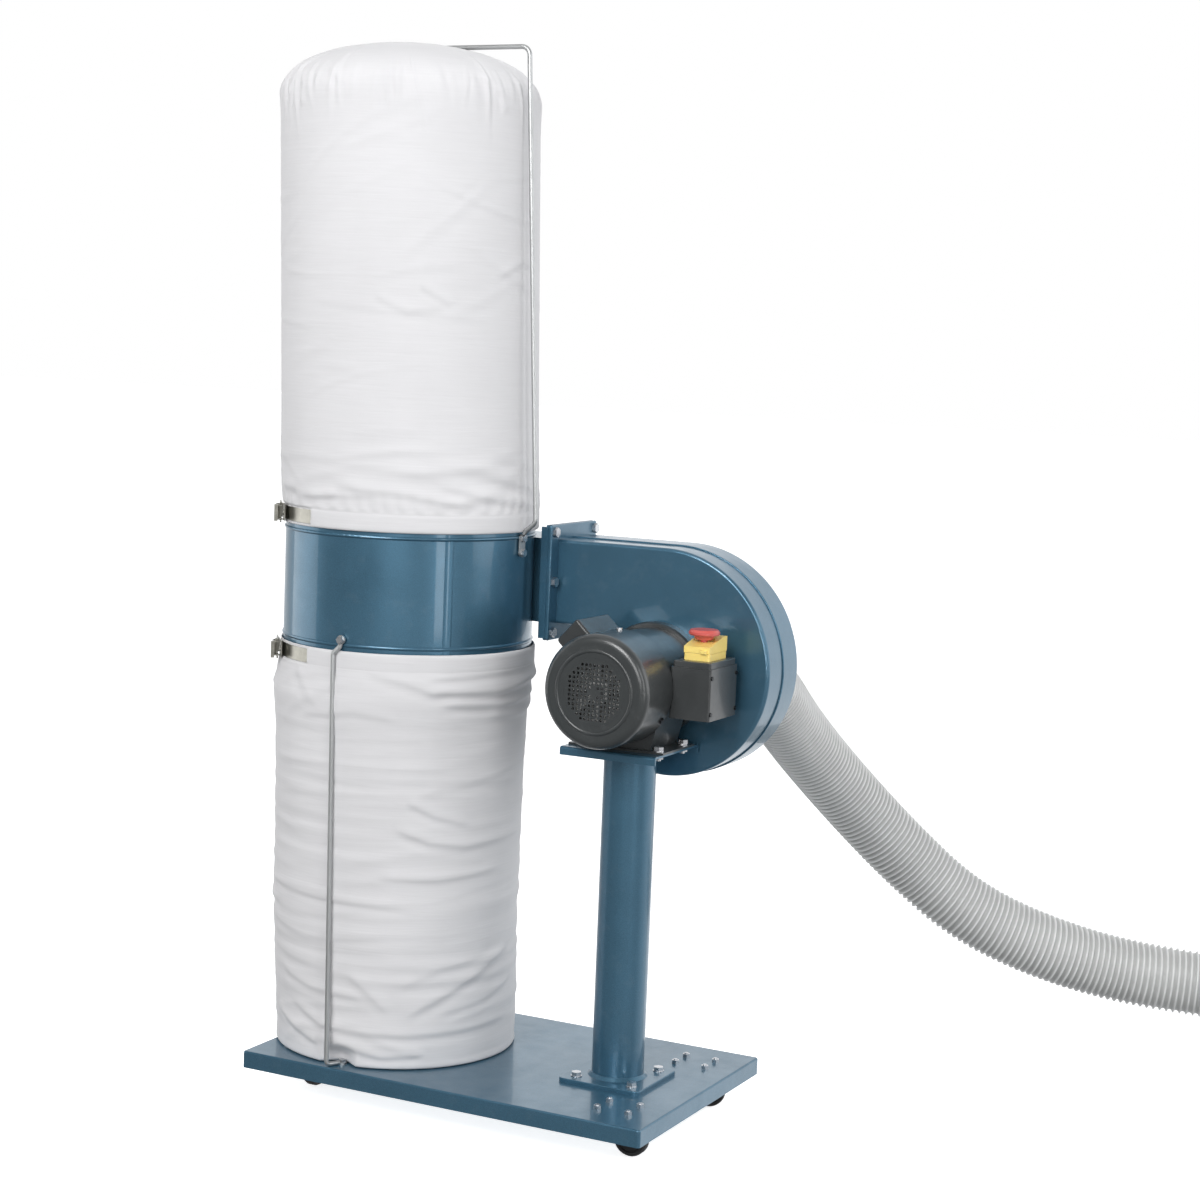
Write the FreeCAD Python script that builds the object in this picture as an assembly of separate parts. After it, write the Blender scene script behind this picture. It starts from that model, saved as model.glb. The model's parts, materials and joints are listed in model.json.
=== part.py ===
"""Mobile two-bag dust collector.

A belt-free blower stands on a castored tray: an induction motor on a post turns a steel
impeller in a scroll housing, and the housing blows into a steel drum that carries a filter
bag above it and a collecting bag below it. A flexible duct leaves the inlet at the back.

Millimetres. The machine is laid out from the middle of the tray (x, y) and the floor (z).
+X runs along the tray from the bags to the post, +Y runs from the operator's side to the
inlet side and +Z is up. Every shape is moved by ORIGIN when it is written, so that the
part's own origin is the middle of the machine's footprint, without its duct, on the floor.
"""

import FreeCAD, Part
import os
from math import acos, cos, degrees, hypot, pi, radians, sin, tan

V = FreeCAD.Vector
UP = V(0, 0, 1)
RIGHT = V(1, 0, 0)
BACK = V(0, 1, 0)

# ---- driving dimensions -------------------------------------------------------------
ORIGIN = V(-11.75, 7.75, 0)  # middle of the footprint of everything but the duct

# tray and casters
TRAY_LEFT_X, TRAY_RIGHT_X = -329.0, 325.0
TRAY_FRONT_Y, TRAY_BACK_Y = -197.5, 210.0
TRAY_TOP = 64.0
TRAY_RIM = 25.0
TRAY_SHEET = 2.0
TRAY_CORNER_R = 4.5
TRAY_EDGE_R = 2.6
CASTER_LEFT_X, CASTER_RIGHT_X = -262.0, 256.5
CASTER_FRONT_Y, CASTER_REAR_Y = -124.5, 131.0
CASTER_BOLTS_X, CASTER_BOLTS_Y = 48.0, 38.0
CASTER_TRAIL = 22.0
WHEEL_R = 25.0
WHEEL_W = 18.0
AXLE_R = 4.0

# post and motor platform
POST_X = 192.0
POST_R = 38.0
POST_WALL = 2.5
FOOT_PLATE = 130.0
FOOT_PLATE_T = 6.0
FOOT_BOLT_SPACING = 89.0
PLATFORM_TOP = 554.0
PLATFORM_T = 3.0
PLATFORM_X, PLATFORM_Y = 150.0, 146.0
PLATFORM_LIP = 12.0

# motor
SHAFT_Z = PLATFORM_TOP + 90.0
MOTOR_BOLTS_X, MOTOR_BOLTS_Y = 124.0, 80.0
MOTOR_R = 75.0
MOTOR_BACK_Y = 52.5
COWL_R = 81.0
COWL_FRONT_Y = -127.0
COWL_BACK_Y = -42.0
GUARD_R = 47.0
GUARD_PITCH = 6.3
SHAFT_R = 10.0
RUNNING_GAP = 0.05

# blower housing
HOUSING_FRONT_Y = 72.0
HOUSING_SEAM_Y = 128.0
HOUSING_BACK_Y = 176.0
HOUSING_SHEET = 2.0
SEAM_STEP, SEAM_LAP, SEAM_EDGE_R = 2.1, 6.0, 1.4
DUCT_LOW_Z, DUCT_HIGH_Z = 708.0, 833.0
FLANGE_X = 24.0
FLANGE_LIP = 24.0
FLANGE_BACK_LIP = 16.0
FLANGE_T = 3.0
FLANGE_CORNER_R = 3.0
FLANGE_BEND_R = 2.4
TURNED_LIP, TURNED_LIP_T = 8.0, 2.5
GASKET_T = 3.0
IMPELLER_R = 115.0
IMPELLER_BLADES = 8
INLET_R = 50.0

# drum and bags
DRUM_X, DRUM_R = -186.0, 185.0
DRUM_LOW_Z, DRUM_HIGH_Z = 637.0, 882.0
DRUM_SHEET = 1.5
HEM_LOW_TOP_Z = 672.0
HEM_HIGH_LOW_Z = 847.0
BAG_T = 2.0
BAG_R = 188.0
BAG_LEAN = -22.0
UPPER_BAG_TOP_Z = 1546.0
HANGER_Z = 1540.0
UPPER_BAG_SHOULDER_Z = 1455.0
BAND_H = 20.0
BAND_T = 1.2
LATCH_ANGLE = 218.0

# rods and the flattened tabs at their ends
ROD_R = 3.5
TAB_T, TAB_R = 3.5, 6.5
ROD_SEAT_R = DRUM_R + 2.0  # the tabs stand on the drum's beads
ROD_LINE_R = ROD_SEAT_R + ROD_R + 0.1
NUT_GAP = 0.2

# switch box on the motor's right side
BOX_X0, BOX_X1 = 268.0, 330.0
BOX_Y0, BOX_Y1 = -40.0, 52.0
BOX_Z0, BOX_Z1 = 606.0, 679.0
LID_T = 9.0
SWITCH_X, SWITCH_Y = 299.0, 7.0
SWITCH_W, SWITCH_L = 40.0, 58.0
MUSHROOM_R = 22.0
BUTTON_R = 7.0

# flexible duct: the corners of its centre line, from the housing's back plate to its cuff
DUCT_R = 56.0
DUCT_WALL = 2.0
DUCT_ROUTE = [
    (193, 180, 644), (193, 315, 644), (184, 484, 596), (184, 628, 495),
    (236, 748, 378), (320, 827, 266), (414, 869, 180), (517, 922, 124),
    (645, 996, 79), (798, 1055, 60), (977, 1083, 57), (1165, 1080, 57),
]

# standard bolts: half the flats, head height, shank radius; and their holes
M8, M8_HOLE = (6.5, 5.3, 3.9), 4.0
M6, M6_HOLE = (5.0, 4.0, 2.9), 3.0

# values worked out from those above
SHAFT = V(POST_X + 1, 0, SHAFT_Z)
HUB_X = SHAFT.x
LID_TOP = BOX_Z1 + LID_T
FRAME_H = 10.0
FLAP_Z0 = LID_TOP + FRAME_H + 0.4
BAG_CROWN_Z = UPPER_BAG_TOP_Z - 0.5


# ---- helpers ------------------------------------------------------------------------
def box(x0, x1, y0, y1, z0, z1):
    return Part.makeBox(x1 - x0, y1 - y0, z1 - z0, V(x0, y0, z0))


def cyl(r, h, base, direction=UP):
    return Part.makeCylinder(r, h, V(*base), direction)


def ring(r_out, r_in, h, base, direction=UP):
    return cyl(r_out, h, base, direction).cut(cyl(r_in, h, base, direction))


def hexagon(half_flats, h, base, direction=UP):
    """Hexagonal prism standing on base."""
    corner = half_flats / cos(pi / 6)
    points = [V(corner * cos(k * pi / 3), corner * sin(k * pi / 3), 0) for k in range(7)]
    prism = Part.Face(Part.makePolygon(points)).extrude(V(0, 0, h))
    prism.Placement = FreeCAD.Placement(V(*base), FreeCAD.Rotation(UP, direction))
    return prism


def bolt(size, base, direction, grip, washer=True):
    """Hex bolt: the head stands on base, and the shank runs back through grip to a nut."""
    half_flats, head, r = size
    base, out = V(*base), V(direction).normalize()
    lift = 1.2 if washer else 0.0
    solid = hexagon(half_flats, head, base + out * lift, out)
    if washer:
        solid = solid.fuse(cyl(half_flats * 1.25, lift, base, out))
    solid = solid.fuse(cyl(r, grip + head * 1.4, base, out * -1))
    nut = hexagon(half_flats, head * 0.9, base - out * grip, out * -1)
    return solid.fuse(nut).removeSplitter()


def round_edges(shape, radius, wanted):
    """Fillets the edges for which wanted(edge) is true."""
    edges = [e for e in shape.Edges if wanted(e)]
    return shape.makeFillet(radius, edges)


def is_along(edge, direction):
    if not isinstance(edge.Curve, (Part.Line, Part.LineSegment)):
        return False
    run = edge.Vertexes[-1].Point - edge.Vertexes[0].Point
    return run.cross(direction).Length < 1e-6


def block(x0, x1, y0, y1, z0, z1, radius, direction=UP):
    """Box whose edges along one direction are rounded."""
    solid = box(x0, x1, y0, y1, z0, z1)
    return round_edges(solid, radius, lambda e: is_along(e, direction))


def turned(points, axis_base, axis):
    """Solid of revolution from (radius, station) pairs along an axis."""
    axis = V(axis).normalize()
    side = RIGHT if abs(axis.dot(RIGHT)) < 0.9 else UP
    base = V(*axis_base)
    wire = [base + side * r + axis * s for r, s in points]
    face = Part.Face(Part.makePolygon(wire + [wire[0]]))
    return face.revolve(base, axis, 360)


def tube_wire(points, bend_of):
    """Straight runs joined by tangent arcs, whose radius bend_of(run, next run, turn) gives."""
    points = [V(*p) for p in points]
    edges, start, radii = [], points[0], []
    for before, corner, after in zip(points, points[1:], points[2:]):
        arrive, leave = corner - before, after - corner
        turn = arrive.getAngle(leave)
        radius = bend_of(arrive.Length, leave.Length, turn)
        radii.append(radius)
        arrive.normalize()
        leave.normalize()
        cut = radius * tan(turn / 2)
        into, out = corner - arrive * cut, corner + leave * cut
        inward = (leave - arrive).normalize()
        middle = corner + inward * (radius / cos(turn / 2) - radius)
        edges.append(Part.LineSegment(start, into).toShape())
        edges.append(Part.Arc(into, middle, out).toShape())
        start = out
    edges.append(Part.LineSegment(start, points[-1]).toShape())
    return Part.Wire(edges), radii


def sweep(wire, r):
    """Solid round bar of radius r along a wire."""
    first = wire.Edges[0]
    start = first.Vertexes[0].Point
    direction = first.Vertexes[-1].Point - start
    circle = Part.Wire(Part.makeCircle(r, start, direction))
    return wire.makePipeShell([circle], True, False)


def rod(points, bend):
    return sweep(tube_wire(points, lambda a, b, turn: bend)[0], ROD_R)


def polar(r, angle, z=0.0, centre_x=DRUM_X):
    """Point at a radius and an angle in degrees round the drum's axis."""
    return V(centre_x + r * cos(radians(angle)), r * sin(radians(angle)), z)


def grid4(cx, cy, sx, sy):
    """Four corners of a rectangle, as (x, y)."""
    return [(cx + i * sx / 2, cy + j * sy / 2) for i in (-1, 1) for j in (-1, 1)]


def group(solids):
    return Part.makeCompound(solids)


def drill(shape, r, places, z, depth):
    """Vertical holes of radius r, downwards from z."""
    for x, y in places:
        shape = shape.cut(cyl(r, depth, (x, y, z - depth)))
    return shape


# ---- tray, casters and post ---------------------------------------------------------
CASTERS = {
    "front_left": (CASTER_LEFT_X, CASTER_FRONT_Y, 90.0),
    "front_right": (CASTER_RIGHT_X, CASTER_FRONT_Y, 0.0),
    "rear_left": (CASTER_LEFT_X, CASTER_REAR_Y, 180.0),
    "rear_right": (CASTER_RIGHT_X, CASTER_REAR_Y, 20.0),
}
CASTER_PLATE_T = 2.5
CASTER_NUT_H = 5.0
KING_PIN_R = 5.0
CASTER_PLATE_TOP = TRAY_TOP - TRAY_SHEET
FOOT_BOLTS = grid4(POST_X, 0, FOOT_BOLT_SPACING, FOOT_BOLT_SPACING)
STAY_TOP_X, STAY_LOW_X, STAY_X = DRUM_X - 6.0, DRUM_X + 2.0, DRUM_X + 14.0
STAY_Y = 194.0
STAY_FOOT_Y = 170.0


def caster_bolt_places():
    places = []
    for x, y, _ in CASTERS.values():
        places += grid4(x, y, CASTER_BOLTS_X, CASTER_BOLTS_Y)
    return places


def base_plate():
    """Folded tray, open underneath, with its rim turned down."""
    x0, x1, y0, y1 = TRAY_LEFT_X, TRAY_RIGHT_X, TRAY_FRONT_Y, TRAY_BACK_Y
    low = TRAY_TOP - TRAY_RIM
    outer = block(x0, x1, y0, y1, low, TRAY_TOP, TRAY_CORNER_R)
    outer = round_edges(outer, TRAY_EDGE_R, lambda e: e.BoundBox.ZMin > TRAY_TOP - 0.01)
    t = TRAY_SHEET
    inner = block(x0 + t, x1 - t, y0 + t, y1 - t, low, TRAY_TOP - t, TRAY_CORNER_R - t)
    tray = outer.cut(inner)
    tray = drill(tray, M6_HOLE, caster_bolt_places(), TRAY_TOP, t)
    tray = drill(tray, M8_HOLE, FOOT_BOLTS, TRAY_TOP, t)
    return drill(tray, M6_HOLE, [(STAY_X, -STAY_FOOT_Y), (STAY_X, STAY_FOOT_Y)], TRAY_TOP, t)


def caster_plates():
    """Fixed top plates, bolted under the tray, each with the raceway's outer cup."""
    plates = []
    for x, y, _ in CASTERS.values():
        half_x, half_y, top = CASTER_BOLTS_X / 2 + 7, CASTER_BOLTS_Y / 2 + 7, CASTER_PLATE_TOP
        plate = block(x - half_x, x + half_x, y - half_y, y + half_y, top - CASTER_PLATE_T, top, 5)
        plate = drill(plate, M6_HOLE, grid4(x, y, CASTER_BOLTS_X, CASTER_BOLTS_Y), top, CASTER_PLATE_T)
        plate = plate.cut(cyl(KING_PIN_R + RUNNING_GAP, CASTER_PLATE_T, (x, y, top - CASTER_PLATE_T)))
        plates.append(plate)
    return group(plates)


def caster_fork(x, y, heading):
    """Swivelling fork with its king pin and axle; heading is where the wheel trails to."""
    plate_low = CASTER_PLATE_TOP - CASTER_PLATE_T
    top, inner = plate_low - 0.4, WHEEL_W / 2 + 1.5
    crown = cyl(15, 2.5, (0, 0, top - 2.5)).fuse(box(-15, 15, -inner - 2, inner + 2, top - 2.5, top))
    king_pin = cyl(KING_PIN_R, CASTER_PLATE_T + 0.2, (0, 0, top - 0.2))
    fork = crown.fuse(king_pin)
    for side in (-1, 1):
        y0, y1 = sorted((side * inner, side * (inner + 2)))
        cheek = [V(-14, y0, top), V(14, y0, top), V(CASTER_TRAIL + 8, y0, WHEEL_R + 2)]
        cheek += [V(CASTER_TRAIL + 5, y0, WHEEL_R - 8), V(CASTER_TRAIL - 7, y0, WHEEL_R - 8)]
        face = Part.Face(Part.makePolygon(cheek + [cheek[0]]))
        fork = fork.fuse(face.extrude(V(0, y1 - y0, 0)))
    axle_base = (CASTER_TRAIL, -inner - 4, WHEEL_R)
    fork = fork.fuse(cyl(AXLE_R, 2 * inner + 8, axle_base, BACK)).removeSplitter()
    fork.rotate(V(0, 0, 0), UP, heading)
    fork.translate(V(x, y, 0))
    return fork


def caster_wheel(x, y, heading):
    """Moulded wheel with a crowned tread and recessed sides, bored for its axle."""
    half = WHEEL_W / 2
    hub = AXLE_R + RUNNING_GAP
    side = [(hub, half), (10, half), (11, half - 3), (18, half - 3), (19, half), (23, half)]
    tread = [(WHEEL_R, half - 4), (WHEEL_R, 4 - half)]
    profile = side + tread + [(r, -s) for r, s in reversed(side)]
    wheel = turned(profile, (CASTER_TRAIL, 0, WHEEL_R), BACK)
    wheel.rotate(V(0, 0, 0), UP, heading)
    wheel.translate(V(x, y, 0))
    return wheel


def post_foot_plate():
    """Square plate under the post, with the weld bead round the tube."""
    half, z0, z1 = FOOT_PLATE / 2, TRAY_TOP, TRAY_TOP + FOOT_PLATE_T
    plate = block(POST_X - half, POST_X + half, -half, half, z0, z1, 9)
    plate = round_edges(plate, 1.5, lambda e: e.BoundBox.ZMin > z1 - 0.01)
    plate = drill(plate, M8_HOLE, FOOT_BOLTS, z1, FOOT_PLATE_T)
    inner = POST_R + RUNNING_GAP
    weld = turned([(inner, 0), (inner + 6, 0), (inner + 1.5, 5), (inner, 5)], (POST_X, 0, z1), UP)
    return plate.fuse(weld).removeSplitter()


def post_tube():
    low = TRAY_TOP + FOOT_PLATE_T
    return ring(POST_R, POST_R - POST_WALL, PLATFORM_TOP - PLATFORM_T - low, (POST_X, 0, low))


def motor_platform():
    """Folded plate on the post, with its front and back edges turned down."""
    hx, hy, top = PLATFORM_X / 2, PLATFORM_Y / 2, PLATFORM_TOP
    outer = box(POST_X - hx, POST_X + hx, -hy - 3, hy - 3, top - PLATFORM_LIP, top)
    long_top = lambda e: is_along(e, RIGHT) and e.BoundBox.ZMin > top - 0.01
    outer = round_edges(outer, 4, long_top)
    t = PLATFORM_T
    inner = box(POST_X - hx, POST_X + hx, -hy - 3 + t, hy - 3 - t, top - PLATFORM_LIP, top - t)
    plate = outer.cut(inner)
    return drill(plate, M8_HOLE, grid4(HUB_X, 0, MOTOR_BOLTS_X, MOTOR_BOLTS_Y), top, t)


# ---- motor --------------------------------------------------------------------------
def motor_feet():
    """Pressed cradle under the motor, with two flanged feet."""
    t, hy = 3.0, 52.0
    z0, half = PLATFORM_TOP, MOTOR_BOLTS_X / 2 + 13
    foot = box(HUB_X - half, HUB_X + half, -hy, hy, z0, z0 + t)
    foot = drill(foot, M8_HOLE, grid4(HUB_X, 0, MOTOR_BOLTS_X, MOTOR_BOLTS_Y), z0 + t, t)
    saddle = foot
    for side in (-1, 1):
        wall = [V(side * 46, 0, t), V(side * 50, 0, t), V(side * 66, 0, 62), V(side * 62, 0, 62)]
        face = Part.Face(Part.makePolygon(wall + [wall[0]]))
        face.translate(V(HUB_X, -hy + 8, z0))
        saddle = saddle.fuse(face.extrude(V(0, 2 * hy - 16, 0)))
    for y in (-hy + 8, hy - 11):
        saddle = saddle.fuse(box(HUB_X - 52, HUB_X + 52, y, y + t, z0 + t, z0 + 34))
    shell = cyl(MOTOR_R + 0.1, 2 * hy, (HUB_X, -hy, SHAFT_Z), BACK)
    cowl = cyl(COWL_R + 0.2, COWL_BACK_Y + hy + 0.5, (HUB_X, -hy, SHAFT_Z), BACK)
    return saddle.cut(shell).cut(cowl)


def motor_body():
    """Rolled stator shell."""
    y0 = COWL_BACK_Y - 30
    return ring(MOTOR_R, MOTOR_R - 3, MOTOR_BACK_Y - y0, (HUB_X, y0, SHAFT_Z), BACK)


def end_bell(y, inward, r_bearing):
    """Cast end bell with a bearing seat; inward is +1 or -1 along Y."""
    r = MOTOR_R - 3
    profile = [(r_bearing + 5, 0), (r, 0), (r, 9), (r - 4, 9), (r - 8, 5), (r_bearing + 9, 5)]
    profile += [(r_bearing + 5, 16), (r_bearing, 16), (r_bearing, 2), (SHAFT_R + 2, 2), (SHAFT_R + 2, 0)]
    return turned(profile, (HUB_X, y, SHAFT_Z), BACK * inward)


BELL_FRONT_Y = COWL_BACK_Y - 30
BELL_BACK_Y = HOUSING_FRONT_Y
REAR_BEARING_R = 20.0
DRIVE_BEARING_R = 23.5
BEARING_W = 13.0


def motor_front_bell():
    return end_bell(BELL_FRONT_Y, 1, REAR_BEARING_R)


def motor_rear_bell():
    """Drive end bell: it closes the shell and carries the face that bolts to the blower."""
    r = MOTOR_R - 3
    bearing = DRIVE_BEARING_R
    profile = [(r, MOTOR_BACK_Y - 8), (r, MOTOR_BACK_Y), (MOTOR_R + 5, MOTOR_BACK_Y)]
    profile += [(MOTOR_R + 7, MOTOR_BACK_Y + 4), (MOTOR_R + 7, BELL_BACK_Y), (SHAFT_R + 2, BELL_BACK_Y)]
    profile += [(SHAFT_R + 2, BELL_BACK_Y - 3), (bearing, BELL_BACK_Y - 3), (bearing, BELL_BACK_Y - 18)]
    profile += [(bearing + 6, BELL_BACK_Y - 18), (bearing + 8, BELL_BACK_Y - 8), (r - 6, BELL_BACK_Y - 12)]
    profile += [(r - 5, MOTOR_BACK_Y - 8)]
    bell = turned(profile, (HUB_X, 0, SHAFT_Z), BACK)
    for x, z in housing_screw_places():
        bell = bell.cut(cyl(M6_HOLE, 12, (x, BELL_BACK_Y - 12, z), BACK))
    return bell


def housing_screw_places():
    return [(HUB_X + 62 * cos(a), SHAFT_Z + 62 * sin(a)) for a in (pi / 4 + k * pi / 2 for k in range(4))]


COWL_BEAD_R = 58.0
COWL_SCREW_R = 2.4


def cowl_screw_places():
    """(innermost point, outward direction) of the three screws round the cowl's rim."""
    places = []
    for angle in (90, -30, -150):
        out = V(cos(radians(angle)), 0, sin(radians(angle)))
        places.append((V(HUB_X, COWL_BACK_Y - 12, SHAFT_Z) + out * (MOTOR_R + 0.5), out))
    return places


def fan_cowl():
    """Pressed cowl: a cup with a rolled front edge, a raised ring and an open middle."""
    y, r, t = COWL_FRONT_Y, COWL_R, 1.5
    length = COWL_BACK_Y - COWL_FRONT_Y
    cup = cyl(r, length, (HUB_X, y, SHAFT_Z), BACK)
    cup = round_edges(cup, 12, lambda e: e.BoundBox.YMax < y + 0.01)
    hollow = cyl(r - t, length, (HUB_X, y + t, SHAFT_Z), BACK)
    hollow = round_edges(hollow, 12 - t, lambda e: e.BoundBox.YMax < y + t + 0.01)
    cup = cup.cut(hollow)
    bead = Part.makeTorus(COWL_BEAD_R, 3, V(HUB_X, y + 1.2, SHAFT_Z), BACK)
    cup = cup.fuse(bead.cut(cyl(r, 6, (HUB_X, y + t, SHAFT_Z), BACK)))
    cup = cup.cut(cyl(GUARD_R, t + 2, (HUB_X, y - 2, SHAFT_Z), BACK))
    for place, out in cowl_screw_places():
        cup = cup.cut(cyl(COWL_SCREW_R + 0.1, 10, place, out))
    return cup


def cowl_guard():
    """Perforated disc in the cowl's opening, with a plain boss in its middle."""
    y, t, hole = COWL_FRONT_Y, 1.2, 2.1
    disc = cyl(GUARD_R - 0.1, t, (HUB_X, y, SHAFT_Z), BACK)
    count = int(GUARD_R / GUARD_PITCH)
    holes = []
    for i in range(-count, count + 1):
        for j in range(-count, count + 1):
            u, w = i * GUARD_PITCH, j * GUARD_PITCH
            if 7.0 < hypot(u, w) < GUARD_R - 3.5:
                holes.append(cyl(hole, t + 2, (HUB_X + u, y - 1, SHAFT_Z + w), BACK))
    return disc.cut(group(holes))


BOX_SCREW_R, BOX_SCREW_L = 1.5, 8.0


def box_screw_places():
    """Inner ends of the screws in the switch box's outer wall."""
    x = BOX_X1 - BOX_SCREW_L
    return [V(x, y, z) for y in (BOX_Y0 + 4, BOX_Y1 - 4) for z in (BOX_Z0 + 10, BOX_Z1 - 12)]


def motor_screws():
    """Cowl screws round the cowl's rim, and the screws at the switch box's corners."""
    screws = []
    for place, out in cowl_screw_places():
        shank = COWL_R - MOTOR_R - 0.5
        screws.append(cyl(COWL_SCREW_R, shank, place, out).fuse(cyl(4.4, 3.0, place + out * shank, out)))
    for place in box_screw_places():
        head = cyl(3.0, 1.6, place + RIGHT * BOX_SCREW_L, RIGHT)
        screws.append(cyl(BOX_SCREW_R, BOX_SCREW_L, place, RIGHT).fuse(head))
    return group(screws)


def stator_core():
    """Laminated stack with its end windings."""
    stack = ring(MOTOR_R - 3, 42, 56, (HUB_X, -34, SHAFT_Z), BACK)
    winding_front = ring(64, 44, 16, (HUB_X, -50, SHAFT_Z), BACK)
    winding_back = ring(64, 44, 14, (HUB_X, 22, SHAFT_Z), BACK)
    return stack.fuse(winding_front).fuse(winding_back)


def motor_bearings():
    """Ball bearings at both ends, as their outer envelope."""
    bore = SHAFT_R + RUNNING_GAP
    front_y = BELL_FRONT_Y + 2
    back_y = BELL_BACK_Y - 3 - BEARING_W
    front = ring(REAR_BEARING_R, bore, BEARING_W, (HUB_X, front_y, SHAFT_Z), BACK)
    back = ring(DRIVE_BEARING_R, bore, BEARING_W, (HUB_X, back_y, SHAFT_Z), BACK)
    return group([front, back])


def motor_shaft():
    """Rotor core on its shaft, from the fan inside the cowl to the impeller."""
    y0, y1 = COWL_FRONT_Y + 14, HOUSING_FRONT_Y + 50
    shaft = cyl(SHAFT_R, y1 - y0, (HUB_X, y0, SHAFT_Z), BACK)
    core = cyl(41.5, 56, (HUB_X, -34, SHAFT_Z), BACK)
    return shaft.fuse(core)


def cooling_fan():
    """Moulded fan behind the cowl, with straight radial blades."""
    y0 = COWL_FRONT_Y + 14
    bore = SHAFT_R + 0.05
    fan = ring(17, bore, 20, (HUB_X, y0, SHAFT_Z), BACK)
    fan = fan.fuse(ring(62, bore, 2.5, (HUB_X, y0 + 17.5, SHAFT_Z), BACK))
    for k in range(8):
        blade = box(14, 62, -1.2, 1.2, 0, 18)
        blade.Placement = FreeCAD.Placement(V(HUB_X, y0, SHAFT_Z), FreeCAD.Rotation(UP, BACK))
        blade.rotate(V(HUB_X, y0, SHAFT_Z), BACK, k * 45)
        fan = fan.fuse(blade)
    return fan.removeSplitter()


CAPACITOR_ANGLE = 137.0
CAPACITOR_Y0, CAPACITOR_Y1 = -62.0, 36.0


def on_motor(shape):
    """Turns a shape built above the motor's axis, at its top, to the capacitor's side."""
    shape.translate(V(HUB_X, 0, SHAFT_Z))
    shape.rotate(V(HUB_X, 0, SHAFT_Z), BACK, 90 - CAPACITOR_ANGLE)
    return shape


def capacitor_cover():
    """Shallow drawn cover on the motor's upper left."""
    y0, y1, half, low, high, t = CAPACITOR_Y0, CAPACITOR_Y1, 23.0, 70.0, 110.0, 1.5
    cover = block(-half, half, y0, y1, low, high, 5, BACK)
    cover = round_edges(cover, 4, lambda e: e.BoundBox.ZMin > high - 0.01 and is_along(e, RIGHT))
    hollow = box(-half + t + 2, half - t - 2, y0 + t, y1 - t, low - 1, high - t - 2)
    cover = on_motor(cover.cut(hollow))
    inside = cyl(MOTOR_R + 0.2, y1 - COWL_BACK_Y + 1, (HUB_X, COWL_BACK_Y - 1, SHAFT_Z), BACK)
    cowl = cyl(COWL_R + 0.2, COWL_BACK_Y - y0 + 1, (HUB_X, y0 - 1, SHAFT_Z), BACK)
    return cover.cut(inside).cut(cowl)


def capacitor():
    return on_motor(cyl(11.5, CAPACITOR_Y1 - CAPACITOR_Y0 - 14, (0, CAPACITOR_Y0 + 7, 94), BACK))


# ---- switch box ---------------------------------------------------------------------
FRAME_X0, FRAME_X1 = SWITCH_X - SWITCH_W / 2, SWITCH_X + SWITCH_W / 2
FRAME_Y0, FRAME_Y1 = SWITCH_Y - SWITCH_L / 2, SWITCH_Y + SWITCH_L / 2
FLAP_HINGE = V(SWITCH_X, FRAME_Y1 - 2.0, FLAP_Z0 + 6.0)
MUSHROOM_Y = SWITCH_Y - 6.0
START_Y = FRAME_Y1 - 18.0
FLAP_FRONT_H, FLAP_BACK_H = 9.0, 21.0
MUSHROOM_NECK_Z = FLAP_Z0 + 17.6
PRESS = 2.5
GLAND_AT, GLAND_R = (BOX_X0 + 20, BOX_Z0 + 18), 8.0


def switch_box():
    """Moulded terminal and switch box, open at the top, on the motor's side."""
    shell = block(BOX_X0, BOX_X1, BOX_Y0, BOX_Y1, BOX_Z0, BOX_Z1, 3)
    t = 2.5
    hollow = box(BOX_X0 + t, BOX_X1 - t, BOX_Y0 + t, BOX_Y1 - t, BOX_Z0 + t, BOX_Z1 + 1)
    shell = shell.cut(hollow)
    for place in box_screw_places():
        shell = shell.cut(cyl(BOX_SCREW_R + 0.1, BOX_SCREW_L + 1, place, RIGHT))
    spigot_y = (BOX_Y0 + BOX_Y1) / 2
    spigot = ring(14, 10, 12, (BOX_X0 - 9, spigot_y, SHAFT_Z), RIGHT)
    motor = cyl(MOTOR_R + 0.1, 60, (HUB_X, spigot_y - 30, SHAFT_Z), BACK)
    shell = shell.cut(cyl(10, t + 1, (BOX_X0 - 0.5, spigot_y, SHAFT_Z), RIGHT))
    spigot = spigot.cut(motor).cut(box(BOX_X0 + t, BOX_X1, BOX_Y0, BOX_Y1, BOX_Z0, BOX_Z1))
    shell = shell.fuse(spigot)
    gland_x, gland_z = GLAND_AT
    return shell.cut(cyl(GLAND_R + 0.1, 2 * t, (gland_x, BOX_Y1 - t * 1.5, gland_z), BACK))


def switch_box_lid():
    """Lid plate, set in a little from the box, with an opening for the switch."""
    lid = block(BOX_X0 + 2, BOX_X1 - 2, BOX_Y0 + 3, BOX_Y1 - 3, BOX_Z1, LID_TOP, 3)
    lid = round_edges(lid, 1.5, lambda e: e.BoundBox.ZMin > LID_TOP - 0.01)
    return lid.cut(box(FRAME_X0 + 5, FRAME_X1 - 5, FRAME_Y0 + 5, FRAME_Y1 - 5, BOX_Z1 - 1, LID_TOP + 1))


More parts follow.
